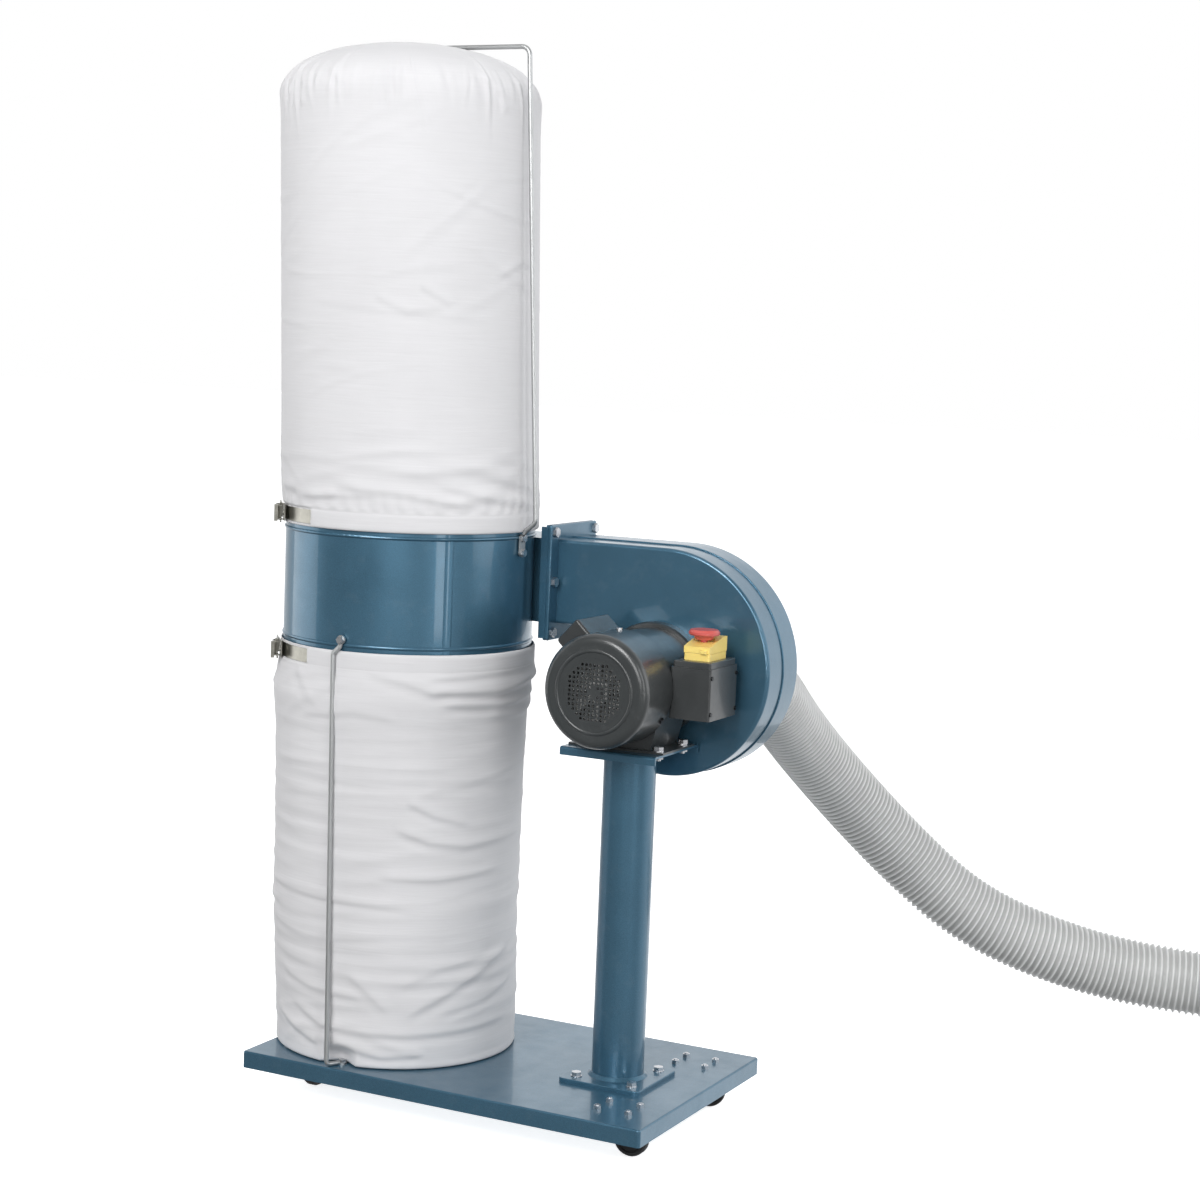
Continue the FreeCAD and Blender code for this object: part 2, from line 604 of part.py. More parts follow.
def switch_frame():
    """Yellow switch body: a flanged frame on the lid and the contact block below it."""
    z0, z1 = LID_TOP, LID_TOP + FRAME_H
    rim = block(FRAME_X0, FRAME_X1, FRAME_Y0, FRAME_Y1, z0, z1, 3)
    body = box(FRAME_X0 + 5, FRAME_X1 - 5, FRAME_Y0 + 5, FRAME_Y1 - 5, BOX_Z1 - 22, z0)
    frame = rim.fuse(body)
    frame = frame.cut(box(FRAME_X0 + 3, FRAME_X1 - 3, FRAME_Y0 + 3, FRAME_Y1 - 9, z1 - 5, z1 + 1))
    for y in (MUSHROOM_Y, START_Y):
        frame = frame.cut(cyl(BUTTON_R + 0.25, 40, (SWITCH_X, y, BOX_Z1 - 14)))
    for side in (-1, 1):
        x0, x1 = sorted((SWITCH_X + side * 8.0, SWITCH_X + side * 13.0))
        ear = box(x0, x1, FLAP_HINGE.y - 4.5, FRAME_Y1, z1, FLAP_HINGE.z)
        frame = frame.fuse(ear.fuse(cyl(3.5, x1 - x0, (x0, FLAP_HINGE.y, FLAP_HINGE.z), RIGHT)))
    frame = frame.cut(cyl(1.55, SWITCH_W, (FRAME_X0, FLAP_HINGE.y, FLAP_HINGE.z), RIGHT))
    return frame


def push_button(y, height):
    """Round push button in its guide, with a collar that stays below the frame."""
    z0 = BOX_Z1 - 8.0
    top = LID_TOP + height
    return cyl(BUTTON_R, top - z0, (SWITCH_X, y, z0))


def start_button():
    return push_button(START_Y, FRAME_H - 1.0)


def stop_button():
    return push_button(MUSHROOM_Y, FRAME_H - 1.0)


def switch_flap():
    """Hinged cover over the buttons: a wedge, higher at its hinge, with a finger lip."""
    x0, x1, y0, y1 = FRAME_X0, FRAME_X1, FRAME_Y0, FRAME_Y1
    z = FLAP_Z0
    side = [V(x0, y0, z), V(x0, y1 - 1.5, z), V(x0, y1, z + 1.5), V(x0, y1, z + FLAP_BACK_H)]
    side += [V(x0, y1 - 12, z + FLAP_BACK_H)]
    side += [V(x0, y0, z + FLAP_FRONT_H)]
    flap = Part.Face(Part.makePolygon(side + [side[0]])).extrude(V(x1 - x0, 0, 0))
    t = 2.2
    hollow = [V(0, y0 + t, z - 1), V(0, y1 - 14, z - 1), V(0, y1 - 14, z + 11.5)]
    hollow += [V(0, y0 + t, z + FLAP_FRONT_H - t)]
    cavity = Part.Face(Part.makePolygon(hollow + [hollow[0]])).extrude(V(x1 - x0 - 2 * t, 0, 0))
    cavity.translate(V(x0 + t, 0, 0))
    flap = flap.cut(cavity)
    for side_x in (-1, 1):
        ear_x0, ear_x1 = sorted((SWITCH_X + side_x * 7.6, SWITCH_X + side_x * 13.4))
        room = box(ear_x0, ear_x1, y1 - 14.1, y1 + 1, z - 1, z + FLAP_BACK_H - 4)
        flap = flap.cut(room)
    lip = block(x1 - 14, x1 - 4, y0 - 3.5, y0 + 1, z, z + 5, 1.5)
    flap = flap.fuse(lip)
    flap = flap.fuse(cyl(1.5, SWITCH_W, (x0, FLAP_HINGE.y, FLAP_HINGE.z), RIGHT))
    flap = flap.cut(cyl(16, 20, (SWITCH_X, MUSHROOM_Y, MUSHROOM_NECK_Z - PRESS - 0.6)))
    return flap.cut(cyl(5.05, 40, (SWITCH_X, MUSHROOM_Y, z - 1)))


def mushroom_button():
    """Red mushroom head whose stem runs through the flap on to the stop button."""
    stem_low, neck = LID_TOP + FRAME_H - 1.0 + 0.3, MUSHROOM_NECK_Z
    profile = [(0, stem_low), (5, stem_low), (5, neck), (12, neck), (14.5, neck + 5)]
    profile += [(MUSHROOM_R - 1, neck + 6.5), (MUSHROOM_R, neck + 8), (MUSHROOM_R, neck + 11)]
    profile += [(MUSHROOM_R - 2.5, neck + 14), (MUSHROOM_R - 6, neck + 14.3), (0, neck + 14)]
    return turned(profile, (SWITCH_X, MUSHROOM_Y, 0), UP)


def cable_gland():
    """Cord grip in the back of the switch box; the mains lead itself isn't part of the model."""
    x, z = GLAND_AT
    body = ring(GLAND_R, 4.0, 10, (x, BOX_Y1 - 4, z), BACK)
    nut = hexagon(10.5, 5, (x, BOX_Y1, z), BACK).cut(cyl(4, 6, (x, BOX_Y1 - 0.5, z), BACK))
    return body.fuse(nut)


# ---- blower -------------------------------------------------------------------------
SCROLL_LOW = V(210, 0, 661)
SCROLL_LOW_R = 160.0
SCROLL_HIGH_R = 172.0
SCROLL_LEFT_R = 138.0
SCROLL_TOP = SCROLL_LOW.z + SCROLL_HIGH_R
FLANGE_Y0, FLANGE_Y1 = HOUSING_FRONT_Y - FLANGE_LIP, HOUSING_BACK_Y + FLANGE_BACK_LIP
FLANGE_Z0, FLANGE_Z1 = DUCT_LOW_Z - FLANGE_LIP, SCROLL_TOP + FLANGE_LIP - 2
HOUSING_FLANGE_X = FLANGE_X + GASKET_T / 2


def scroll_face(offset, y):
    """Side outline of the scroll and its outlet duct, grown by offset, on the plane at y.

    Three arcs of growing radius run from the cut-off, round the bottom and the right, to the
    duct's flat top; the duct's floor meets the scroll at the cut-off.
    """
    high_x = SCROLL_LOW.x + SCROLL_LOW_R - SCROLL_HIGH_R
    left_z = SCROLL_LOW.z - SCROLL_LOW_R + SCROLL_LEFT_R
    r_low, r_high, r_left = SCROLL_LOW_R + offset, SCROLL_HIGH_R + offset, SCROLL_LEFT_R + offset
    floor = DUCT_LOW_Z - offset
    rise = floor - left_z
    meet_x = SCROLL_LOW.x - (r_left ** 2 - rise ** 2) ** 0.5

    def at(x, z):
        return V(x, y, z)

    def arc(cx, cz, r, start, end):
        middle = radians((start + end) / 2)
        start, end = radians(start), radians(end)
        spots = [at(cx + r * cos(a), cz + r * sin(a)) for a in (start, middle, end)]
        return Part.Arc(*spots).toShape()

    meet_angle = 180 - degrees(acos((SCROLL_LOW.x - meet_x) / r_left))
    top = SCROLL_TOP + offset
    x0 = HOUSING_FLANGE_X
    edges = [
        arc(SCROLL_LOW.x, left_z, r_left, meet_angle, 270),
        arc(SCROLL_LOW.x, SCROLL_LOW.z, r_low, 270, 360),
        arc(high_x, SCROLL_LOW.z, r_high, 0, 90),
        Part.LineSegment(at(high_x, top), at(x0, top)).toShape(),
        Part.LineSegment(at(x0, top), at(x0, floor)).toShape(),
        Part.LineSegment(at(x0, floor), at(meet_x, floor)).toShape(),
    ]
    return Part.Face(Part.Wire(edges))


def scroll_shell(offset, y_plate, y_open, hole_r):
    """Drawn half of the housing: a side plate at y_plate and a wall out to y_open."""
    depth = y_open - y_plate
    solid = scroll_face(offset, y_plate).extrude(V(0, depth, 0))
    solid = round_edges(solid, 5, lambda e: abs(e.BoundBox.YMax - y_plate) < 0.01
                        and abs(e.BoundBox.YMin - y_plate) < 0.01 and not is_along(e, UP))
    inward = HOUSING_SHEET if depth > 0 else -HOUSING_SHEET
    hollow = scroll_face(offset - HOUSING_SHEET, y_plate + inward).extrude(V(0, depth, 0))
    hollow = hollow.fuse(box(HOUSING_FLANGE_X - 5, HOUSING_FLANGE_X + 1,
                             min(y_plate + inward, y_open), max(y_plate + inward, y_open),
                             DUCT_LOW_Z - offset + HOUSING_SHEET, SCROLL_TOP + offset - HOUSING_SHEET))
    shell = solid.cut(hollow)
    eye = cyl(hole_r, 20, (HUB_X, y_plate - 10, SHAFT_Z), BACK)
    return shell.cut(eye)


def blower_front_shell():
    """Motor side half of the housing."""
    shell = scroll_shell(0.0, HOUSING_FRONT_Y, HOUSING_SEAM_Y, SHAFT_R + 2)
    for x, z in housing_screw_places():
        shell = shell.cut(cyl(M6_HOLE, 6, (x, HOUSING_FRONT_Y - 2, z), BACK))
    return shell


def blower_rear_shell():
    """Inlet side half: a little larger, so that its rim covers the front half's."""
    rim_y = HOUSING_SEAM_Y - SEAM_LAP
    shell = scroll_shell(SEAM_STEP, HOUSING_BACK_Y, rim_y, INLET_R)
    outline = scroll_face(SEAM_STEP, rim_y).OuterWire

    def on_rim(edge):
        middle = edge.valueAt((edge.FirstParameter + edge.LastParameter) / 2)
        return edge.Length > HOUSING_SHEET + 1 and outline.distToShape(Part.Vertex(middle))[0] < 0.01

    return round_edges(shell, SEAM_EDGE_R, on_rim)


def inlet_collar():
    """Spun inlet collar: a flange on the housing's back plate and the duct's spigot."""
    throat, sleeve, neck, flange_r = INLET_R - 1.5, INLET_R - 0.1, INLET_R + 2, INLET_R + 16
    profile = [(throat, -14), (sleeve, -14), (sleeve, 0), (flange_r, 0), (flange_r, 2), (neck, 2)]
    profile += [(neck, 34), (neck + 1, 35.5), (neck, 37), (throat, 37)]
    return turned(profile, (HUB_X, HOUSING_BACK_Y, SHAFT_Z), BACK)


def flange_frame(x0, x1, inside=0.0):
    """Rectangular flange across the duct, round its outlet; its rim lies inside by a little."""
    plate = block(x0, x1, FLANGE_Y0 + inside, FLANGE_Y1 - inside,
                  FLANGE_Z0 + inside, FLANGE_Z1 - inside, FLANGE_CORNER_R, RIGHT)
    inset = HOUSING_SHEET
    opening = box(x0 - 1, x1 + 1, HOUSING_FRONT_Y + inset, HOUSING_BACK_Y - inset,
                  DUCT_LOW_Z + inset, SCROLL_TOP - inset)
    plate = plate.cut(opening)
    for y, z in flange_bolt_places():
        plate = plate.cut(cyl(M8_HOLE, x1 - x0 + 2, (x0 - 1, y, z), RIGHT))
    return plate


def flange_bolt_places():
    """Three bolts up each side lip, the top pair at the corners."""
    spots = []
    for y in (FLANGE_Y0 + 11, FLANGE_Y1 - 7):
        spots += [(y, FLANGE_Z0 + 12), (y, (DUCT_LOW_Z + SCROLL_TOP) / 2), (y, FLANGE_Z1 - 11)]
    return spots


def outlet_flange():
    """Welded flange at the end of the housing's outlet."""
    plate = flange_frame(HOUSING_FLANGE_X - FLANGE_T, HOUSING_FLANGE_X)
    return round_edges(plate, FLANGE_BEND_R, lambda e: is_along(e, UP)
                       and abs(e.BoundBox.YMin - FLANGE_Y0) < 0.01
                       and abs(e.BoundBox.XMax - HOUSING_FLANGE_X) < 0.01)


def flange_gasket():
    x1 = HOUSING_FLANGE_X - FLANGE_T
    return flange_frame(x1 - GASKET_T, x1, 1.0)


def drum_duct():
    """Short duct welded to the drum's side, with a flange whose front edge turns back."""
    x1 = HOUSING_FLANGE_X - FLANGE_T - GASKET_T
    x0 = x1 - FLANGE_T
    lip = box(x0 - TURNED_LIP, x1 - FLANGE_BEND_R, FLANGE_Y0, FLANGE_Y0 + TURNED_LIP_T,
              FLANGE_Z0 + FLANGE_CORNER_R, FLANGE_Z1 - FLANGE_CORNER_R)
    flange = flange_frame(x0, x1).fuse(lip)
    t = HOUSING_SHEET
    reach = DRUM_X + 40
    duct = box(reach, x0, HOUSING_FRONT_Y, HOUSING_BACK_Y, DUCT_LOW_Z, SCROLL_TOP)
    duct = duct.cut(box(reach - 1, x0 + 1, HOUSING_FRONT_Y + t, HOUSING_BACK_Y - t,
                        DUCT_LOW_Z + t, SCROLL_TOP - t))
    duct = duct.cut(cyl(DRUM_R, 400, (DRUM_X, 0, 600)))
    return flange.fuse(duct)


IMPELLER_BACK_Y = HOUSING_FRONT_Y + 14


def impeller():
    """Open steel impeller: a back disc, a hub and backward-leaning blades."""
    disc = ring(IMPELLER_R, SHAFT_R, 2.5, (HUB_X, IMPELLER_BACK_Y, SHAFT_Z), BACK)
    wheel = disc.fuse(ring(22, SHAFT_R, 30, (HUB_X, IMPELLER_BACK_Y, SHAFT_Z), BACK))
    for k in range(IMPELLER_BLADES):
        blade = box(30, IMPELLER_R, -1.2, 1.2, 0, 50)
        blade.rotate(V(30, 0, 0), UP, -18)
        trim = ring(IMPELLER_R + 60, IMPELLER_R - 1, 50, (0, 0, 0))
        blade = blade.cut(trim)
        blade.Placement = FreeCAD.Placement(V(HUB_X, IMPELLER_BACK_Y, SHAFT_Z),
                                            FreeCAD.Rotation(UP, BACK))
        blade.rotate(V(HUB_X, 0, SHAFT_Z), BACK, k * 360.0 / IMPELLER_BLADES)
        wheel = wheel.fuse(blade)
    return wheel.removeSplitter()


def impeller_nut():
    """Clamping washer and bolt that hold the impeller on the shaft's end."""
    y = HOUSING_FRONT_Y + 50
    washer = cyl(16, 3, (HUB_X, y, SHAFT_Z), BACK)
    return washer.fuse(hexagon(M8[0], M8[1], (HUB_X, y + 3, SHAFT_Z), BACK))


# ---- drum and bags ------------------------------------------------------------------
def drum_ring():
    """Rolled drum, open at both ends, with a swaged bead near each and a side opening."""
    r, t, height = DRUM_R, DRUM_SHEET, DRUM_HIGH_Z - DRUM_LOW_Z
    drum = cyl(r, height, (DRUM_X, 0, DRUM_LOW_Z))
    for z in (HEM_LOW_TOP_Z + 9, HEM_HIGH_LOW_Z - 9):
        drum = drum.fuse(Part.makeTorus(r - 1.2, 3.0, V(DRUM_X, 0, z)))
    drum = drum.cut(cyl(r - t, height + 2, (DRUM_X, 0, DRUM_LOW_Z - 1)))
    opening = box(DRUM_X + 30, 60, HOUSING_FRONT_Y + 2, HOUSING_BACK_Y - 2, DUCT_LOW_Z + 2, SCROLL_TOP - 2)
    drum = drum.cut(opening.common(box(DRUM_X, 60, 0, 200, 600, 900)))
    for angle, z in drum_bolt_spots():
        drum = drum.cut(cyl(M6_HOLE, 12, polar(r - 6, angle, z), polar(1, angle, 0, 0)))
    return drum


HANGER_ANGLE = 0.0
STAY_ANGLES = (-88.8, 88.8)
HANGER_BOLT_Z = (837.0, 816.0)
STAY_BOLT_Z = 689.0


def drum_bolt_spots():
    """(angle, height) of the rod bolts through the drum."""
    spots = [(HANGER_ANGLE, z) for z in HANGER_BOLT_Z]
    return spots + [(angle, STAY_BOLT_Z) for angle in STAY_ANGLES]


def group_fuse(shapes):
    whole = shapes[0]
    for shape in shapes[1:]:
        whole = whole.fuse(shape)
    return whole


def bag_solids(profile, drop):
    """Outer and inner solids of a bag of revolution through (radius, height) points.

    The inner one is a cloth's thickness smaller and ends level with the outer one at the drum;
    drop moves it inwards from the outer one's closed end.
    """
    outer = [V(r, 0, z) for r, z in profile]
    inner = [V(r - BAG_T, 0, z + drop) for r, z in profile]
    mouth = -1 if drop > 0 else 0
    inner[mouth] = V(inner[mouth].x, 0, outer[mouth].z)
    curves = []
    for points in (outer, inner):
        spline = Part.BSplineCurve()
        spline.interpolate(points)
        curves.append(spline.toShape())
    solid = []
    for curve, points in zip(curves, (outer, inner)):
        ends = [Part.LineSegment(points[-1], V(0, 0, points[-1].z)).toShape(),
                Part.LineSegment(V(0, 0, points[-1].z), V(0, 0, points[0].z)).toShape(),
                Part.LineSegment(V(0, 0, points[0].z), points[0]).toShape()]
        solid.append(Part.Face(Part.Wire([curve] + ends)).revolve(V(0, 0, 0), UP, 360))
    for shape in solid:
        shape.translate(V(DRUM_X, 0, 0))
    return solid


CROWN_TROUGH_R = 8.0


def upper_bag():
    """Filter bag: an inflated cloth tube with a domed top, leaning a little from the post."""
    neck_r = DRUM_R + BAG_T + 0.2
    hem = ring(neck_r, neck_r - BAG_T, DRUM_HIGH_Z + 2 - HEM_HIGH_LOW_Z, (DRUM_X, 0, HEM_HIGH_LOW_Z))
    low, shoulder, crown = DRUM_HIGH_Z + 2, UPPER_BAG_SHOULDER_Z, UPPER_BAG_TOP_Z - UPPER_BAG_SHOULDER_Z
    profile = [(neck_r, low), (BAG_R - 0.2, low + 60)]
    profile += [(BAG_R, z) for z in (1050, 1200, 1340)]
    for share in (0.0, 0.3, 0.52, 0.7, 0.84, 0.94):
        profile.append((BAG_R * (1 - share ** 2.6) ** 0.5, shoulder + crown * share))
    profile.append((34, BAG_CROWN_Z))
    outer, inner = bag_solids(profile, -BAG_T)
    shear = FreeCAD.Matrix()
    shear.A13 = BAG_LEAN / (shoulder - low)
    shear.A14 = -shear.A13 * low
    outer, inner = outer.transformGeometry(shear), inner.transformGeometry(shear)
    bag = outer.cut(crown_trough(CROWN_TROUGH_R)).cut(inner.cut(crown_trough(CROWN_TROUGH_R + BAG_T)))
    return bag.fuse(hem)


def crown_trough(r):
    """Space that the hanger rod presses into the crown, open upwards, from the middle to the side."""
    x0, x1 = DRUM_X + BAG_LEAN - 16 - r, DRUM_X + DRUM_R
    trough = cyl(r, x1 - x0, (x0, 0, HANGER_Z), RIGHT)
    return trough.fuse(box(x0, x1, -r, r, HANGER_Z, HANGER_Z + 60))


BAG_FOOT_R = 174.0
BAG_DIMPLE_R = 6.4
STAY_DENT_R, STAY_DENT_H, STAY_DENT_ARM = 11.0, 16.0, 9.0


def foot_dents(grown):
    """Room in the collecting bag for what stands on the tray: caster studs and the stays' feet."""
    low = TRAY_TOP - 1
    dents = [cyl(BAG_DIMPLE_R + grown, CASTER_NUT_H + 4 + grown, (x, y, low))
             for x, y in caster_bolt_places() if hypot(x - DRUM_X, y) < BAG_R + BAG_DIMPLE_R]
    height, wide = STAY_DENT_H + grown, STAY_DENT_ARM + grown
    for side in (-1, 1):
        inner_y, outer_y = side * STAY_FOOT_Y, side * STAY_Y
        dents.append(cyl(STAY_DENT_R + grown, height, (STAY_X, inner_y, low)))
        dents.append(box(STAY_LOW_X - wide, STAY_X + wide, min(inner_y, outer_y),
                         max(inner_y, outer_y), low, low + height))
    return group_fuse(dents)


def lower_bag():
    """Collecting bag: it hangs from the drum and stands full on the tray, over its bolts."""
    low, top = TRAY_TOP + 0.2, HEM_LOW_TOP_Z
    neck_r = DRUM_R + BAG_T + 0.2
    profile = [(BAG_FOOT_R, low), (BAG_FOOT_R + 4, low + 2), (BAG_FOOT_R + 6, low + 9), (181, low + 40),
               (183, low + 90)]
    profile += [(BAG_R - 3, z) for z in (240, 340)] + [(BAG_R - 2, z) for z in (450, 550)]
    profile += [(neck_r, DRUM_LOW_Z), (neck_r, top)]
    outer, inner = bag_solids(profile, BAG_T)
    return outer.cut(foot_dents(0.0)).cut(inner.cut(foot_dents(BAG_T)))


BAND_R = DRUM_R + BAG_T + 0.4
UPPER_BAND_Z = HEM_HIGH_LOW_Z + 3
LOWER_BAND_Z = HEM_LOW_TOP_Z - 3 - BAND_H
LATCH_GAP = 16.0


def bag_band(z0):
    """Spring steel band round the bag's hem, open between its two latch ends."""
    band = ring(BAND_R + BAND_T, BAND_R, BAND_H, (DRUM_X, 0, z0))
    gap = box(0, 40, -LATCH_GAP / 2, LATCH_GAP / 2, z0 - 1, z0 + BAND_H + 1)
    gap.translate(V(BAND_R - 20, 0, 0))
    gap.rotate(V(0, 0, 0), UP, LATCH_ANGLE)
    gap.translate(V(DRUM_X, 0, 0))
    return band.cut(gap)


def at_latch(shape, z0):
    """Places a latch piece drawn with x outwards from the band, y along it and z up."""
    shape.translate(V(BAND_R + BAND_T, 0, z0 + BAND_H / 2))
    shape.rotate(V(0, 0, 0), UP, LATCH_ANGLE)
    shape.translate(V(DRUM_X, 0, 0))
    return shape


# the latch's own frame: x is outwards from the band, y runs along it
LATCH_PIN = (9.0, 14.0)
BAIL_PIN = (6.5, 25.0)
HOOK_Y = -15.0
LATCH_H = 24.4
BAIL_WIRE_R = 1.2
BAIL_ARM_Z = LATCH_H / 2 + 1.8


def latch_base(z0):
    """Riveted base with two ears and a pin for the lever, and the hook on the other end."""
    half = LATCH_H / 2
    x, y = LATCH_PIN
    plate = box(0.8, 2.2, y - 5, y + 20, -half, half)
    for low in (-half, half - 1.6):
        ear = box(0.8, x, y - 2.7, y + 2.7, low, low + 1.6)
        plate = plate.fuse(ear).fuse(cyl(2.7, 1.6, (x, y, low)))
    plate = plate.fuse(cyl(1.5, 2 * half, (x, y, -half)))
    plate = plate.fuse(cyl(4.0, 2.0, (2.2, y + 15, 0), RIGHT))
    hook = box(0.8, 2.2, HOOK_Y - 16, HOOK_Y + 2, -half + 2, half - 2)
    hook = hook.fuse(box(0.8, 7.5, HOOK_Y + 0.6, HOOK_Y + 2, -half + 2, half - 2))
    hook = hook.fuse(cyl(4.0, 2.0, (2.2, HOOK_Y - 10, 0), RIGHT))
    return [at_latch(plate, z0), at_latch(hook, z0)]


def latch_lever(z0):
    """Over-centre lever: a channel that turns on the base's pin, with a curled end."""
    half = LATCH_H / 2
    x, y = LATCH_PIN
    lever = box(x + 3.0, x + 4.5, y, y + 26, -half, half)
    for low in (-half + 1.9, half - 3.4):
        lever = lever.fuse(box(x - 4.6, x + 4.5, y - 2.5, y + 14, low, low + 1.5))
    lever = lever.fuse(box(x + 3.0, x + 8.0, y + 24.5, y + 26, -half, half))
    lever = lever.cut(cyl(1.55, LATCH_H, (x, y, -half)))
    return at_latch(lever.cut(cyl(1.3, LATCH_H, (*BAIL_PIN, -half))), z0)


def latch_bail(z0):
    """Wire bail from the lever's cheeks to behind the hook; its arms pass outside the pin."""
    r, arm = BAIL_WIRE_R, BAIL_ARM_Z
    pin, end = V(*BAIL_PIN, 0), V(4.4, HOOK_Y - 1.2, 0)
    run = end - pin
    bail = cyl(r, 2 * arm, (end.x, end.y, -arm))
    for z in (-arm, arm):
        side = V(0, 0, z)
        bail = bail.fuse(cyl(r, run.Length, pin + side, run))
        bail = bail.fuse(Part.makeSphere(r, pin + side)).fuse(Part.makeSphere(r, end + side))
        bail = bail.fuse(cyl(r, arm - 8.4, pin + side, UP * (-1 if z > 0 else 1)))
    return at_latch(bail, z0)


# ---- rods ---------------------------------------------------------------------------
HANGER_X = DRUM_X + ROD_LINE_R


def tab(places, direction):
    """Flattened rod end, drilled at each place; direction is outwards from its seat."""
    first, last = places[0], places[-1]
    solid = cyl(TAB_R, TAB_T, first, direction)
    if last != first:
        across = (last - first).cross(direction).normalize() * TAB_R
        corners = [first + across, last + across, last - across, first - across]
        face = Part.Face(Part.makePolygon(corners + [corners[0]]))
        solid = solid.fuse(face.extrude(V(direction) * TAB_T)).fuse(cyl(TAB_R, TAB_T, last, direction))
    for place in places:
        solid = solid.cut(cyl(M6_HOLE, TAB_T + 2, place - V(direction), direction))
    return solid


def clear_of_bolts(bar, places, direction):
    """Ends a round bar before the bolt heads that stand on its tab."""
    for place in places:
        bar = bar.cut(cyl(TAB_R, 12, place + V(direction) * TAB_T, direction))
        bar = bar.cut(cyl(M6_HOLE, 12, place - V(direction), direction))
    return bar


def hanger_rod():
    """Bent rod bolted to the drum's side, standing clear of the bag and over its top."""
    high = HANGER_Z
    out_x, shoulder_x = DRUM_X + DRUM_R + 25, DRUM_X + DRUM_R - 12.5
    places = [polar(ROD_SEAT_R, HANGER_ANGLE, z) for z in HANGER_BOLT_Z]
    points = [
        (HANGER_X, 0, HANGER_BOLT_Z[0]), (HANGER_X, 0, HANGER_BOLT_Z[0] + 8),
        (out_x, 0, HANGER_BOLT_Z[0] + 24), (shoulder_x, 0, high), (DRUM_X + BAG_LEAN, 0, high),
    ]
    bar = clear_of_bolts(rod(points, 13), places, RIGHT)
    return bar.fuse(tab(places, RIGHT))


def stay_rod(side):
    """Stay from an eye on the drum down to a foot bolted on the tray; side is -1 or 1."""
    angle = STAY_ANGLES[0] if side < 0 else STAY_ANGLES[1]
    out = polar(1, angle, 0, 0)
    eye, foot = polar(ROD_SEAT_R, angle, STAY_BOLT_Z), V(STAY_X, side * STAY_FOOT_Y, TRAY_TOP)
    start, low = polar(ROD_LINE_R, angle, STAY_BOLT_Z), TRAY_TOP + ROD_R
    points = [
        (start.x, start.y, start.z - 1), (start.x, start.y, start.z - 9),
        (STAY_TOP_X, side * STAY_Y, start.z - 20), (STAY_LOW_X, side * STAY_Y, low),
        (foot.x, side * (STAY_FOOT_Y + 1), low),
    ]
    bar = clear_of_bolts(rod(points, 6), [eye], out)
    bar = clear_of_bolts(bar, [foot], UP)
    return bar.fuse(tab([eye], out)).fuse(tab([foot], UP))


def bag_loop():
    """Stitched tape loop that hangs the filter bag's crown on the hanger rod."""
    x, z = DRUM_X + BAG_LEAN + 14, HANGER_Z
    loop = ring(ROD_R + 1.3, ROD_R + 0.1, 18, (x, 0, z), RIGHT)
    tail = box(x, x + 18, -0.9, 0.9, z - CROWN_TROUGH_R + 0.1, z - ROD_R - 0.6)
    return loop.fuse(tail)


# ---- fasteners ----------------------------------------------------------------------
def m8_bolts():
    """Post foot, motor foot and duct flange bolts."""
    foot_grip = FOOT_PLATE_T + TRAY_SHEET
    bolts = [bolt(M8, (x, y, TRAY_TOP + FOOT_PLATE_T), UP, foot_grip) for x, y in FOOT_BOLTS]
    for x, y in grid4(HUB_X, 0, MOTOR_BOLTS_X, MOTOR_BOLTS_Y):
        bolts.append(bolt(M8, (x, y, PLATFORM_TOP + 3), UP, PLATFORM_T + 3))
    flange_grip = 2 * FLANGE_T + GASKET_T
    for y, z in flange_bolt_places():
        bolts.append(bolt(M8, (HOUSING_FLANGE_X, y, z), RIGHT, flange_grip, False))
    return group(bolts)


def m6_bolts():
    """Caster, rod and housing screws."""
    half_flats, head, shank = M6
    grip = TRAY_SHEET + CASTER_PLATE_T
    bolts = []
    for x, y in caster_bolt_places():
        stud = cyl(shank, grip + 3, (x, y, TRAY_TOP - grip))
        stud = stud.fuse(hexagon(half_flats, CASTER_NUT_H, (x, y, TRAY_TOP)))
        bolts.append(stud.fuse(cyl(shank, 1.5, (x, y, TRAY_TOP + CASTER_NUT_H))))
    through_drum = ROD_SEAT_R + TAB_T - DRUM_R + DRUM_SHEET + NUT_GAP
    for angle, z in drum_bolt_spots():
        out = polar(1, angle, 0, 0)
        bolts.append(bolt(M6, polar(ROD_SEAT_R + TAB_T, angle, z), out, through_drum, False))
    for side in (-1, 1):
        place = (STAY_X, side * STAY_FOOT_Y, TRAY_TOP + TAB_T)
        bolts.append(bolt(M6, place, UP, TAB_T + TRAY_SHEET, False))
    for x, z in housing_screw_places():
        screw = cyl(shank, 12, (x, HOUSING_FRONT_Y - 10, z), BACK)
        bolts.append(screw.fuse(hexagon(half_flats, head, (x, HOUSING_FRONT_Y + HOUSING_SHEET, z), BACK)))
    return group(bolts)


# ---- flexible duct ------------------------------------------------------------------
def hose_clamp():
    """Worm drive clamp that holds the duct on the inlet's spigot."""
    y = HOUSING_BACK_Y + 22
    band = ring(DUCT_R + 1.2, DUCT_R + 0.1, 12, (HUB_X, y, SHAFT_Z), BACK)
    screw = box(HUB_X - 14, HUB_X + 14, y - 1, y + 13, SHAFT_Z + DUCT_R + 1.0, SHAFT_Z + DUCT_R + 10)
    return band.fuse(round_edges(screw, 2, lambda e: is_along(e, RIGHT)))


def run_bend(run, next_run, turn):
    """Largest tangent arc that leaves a little of both runs straight."""
    return 0.45 * min(run, next_run) / tan(turn / 2)


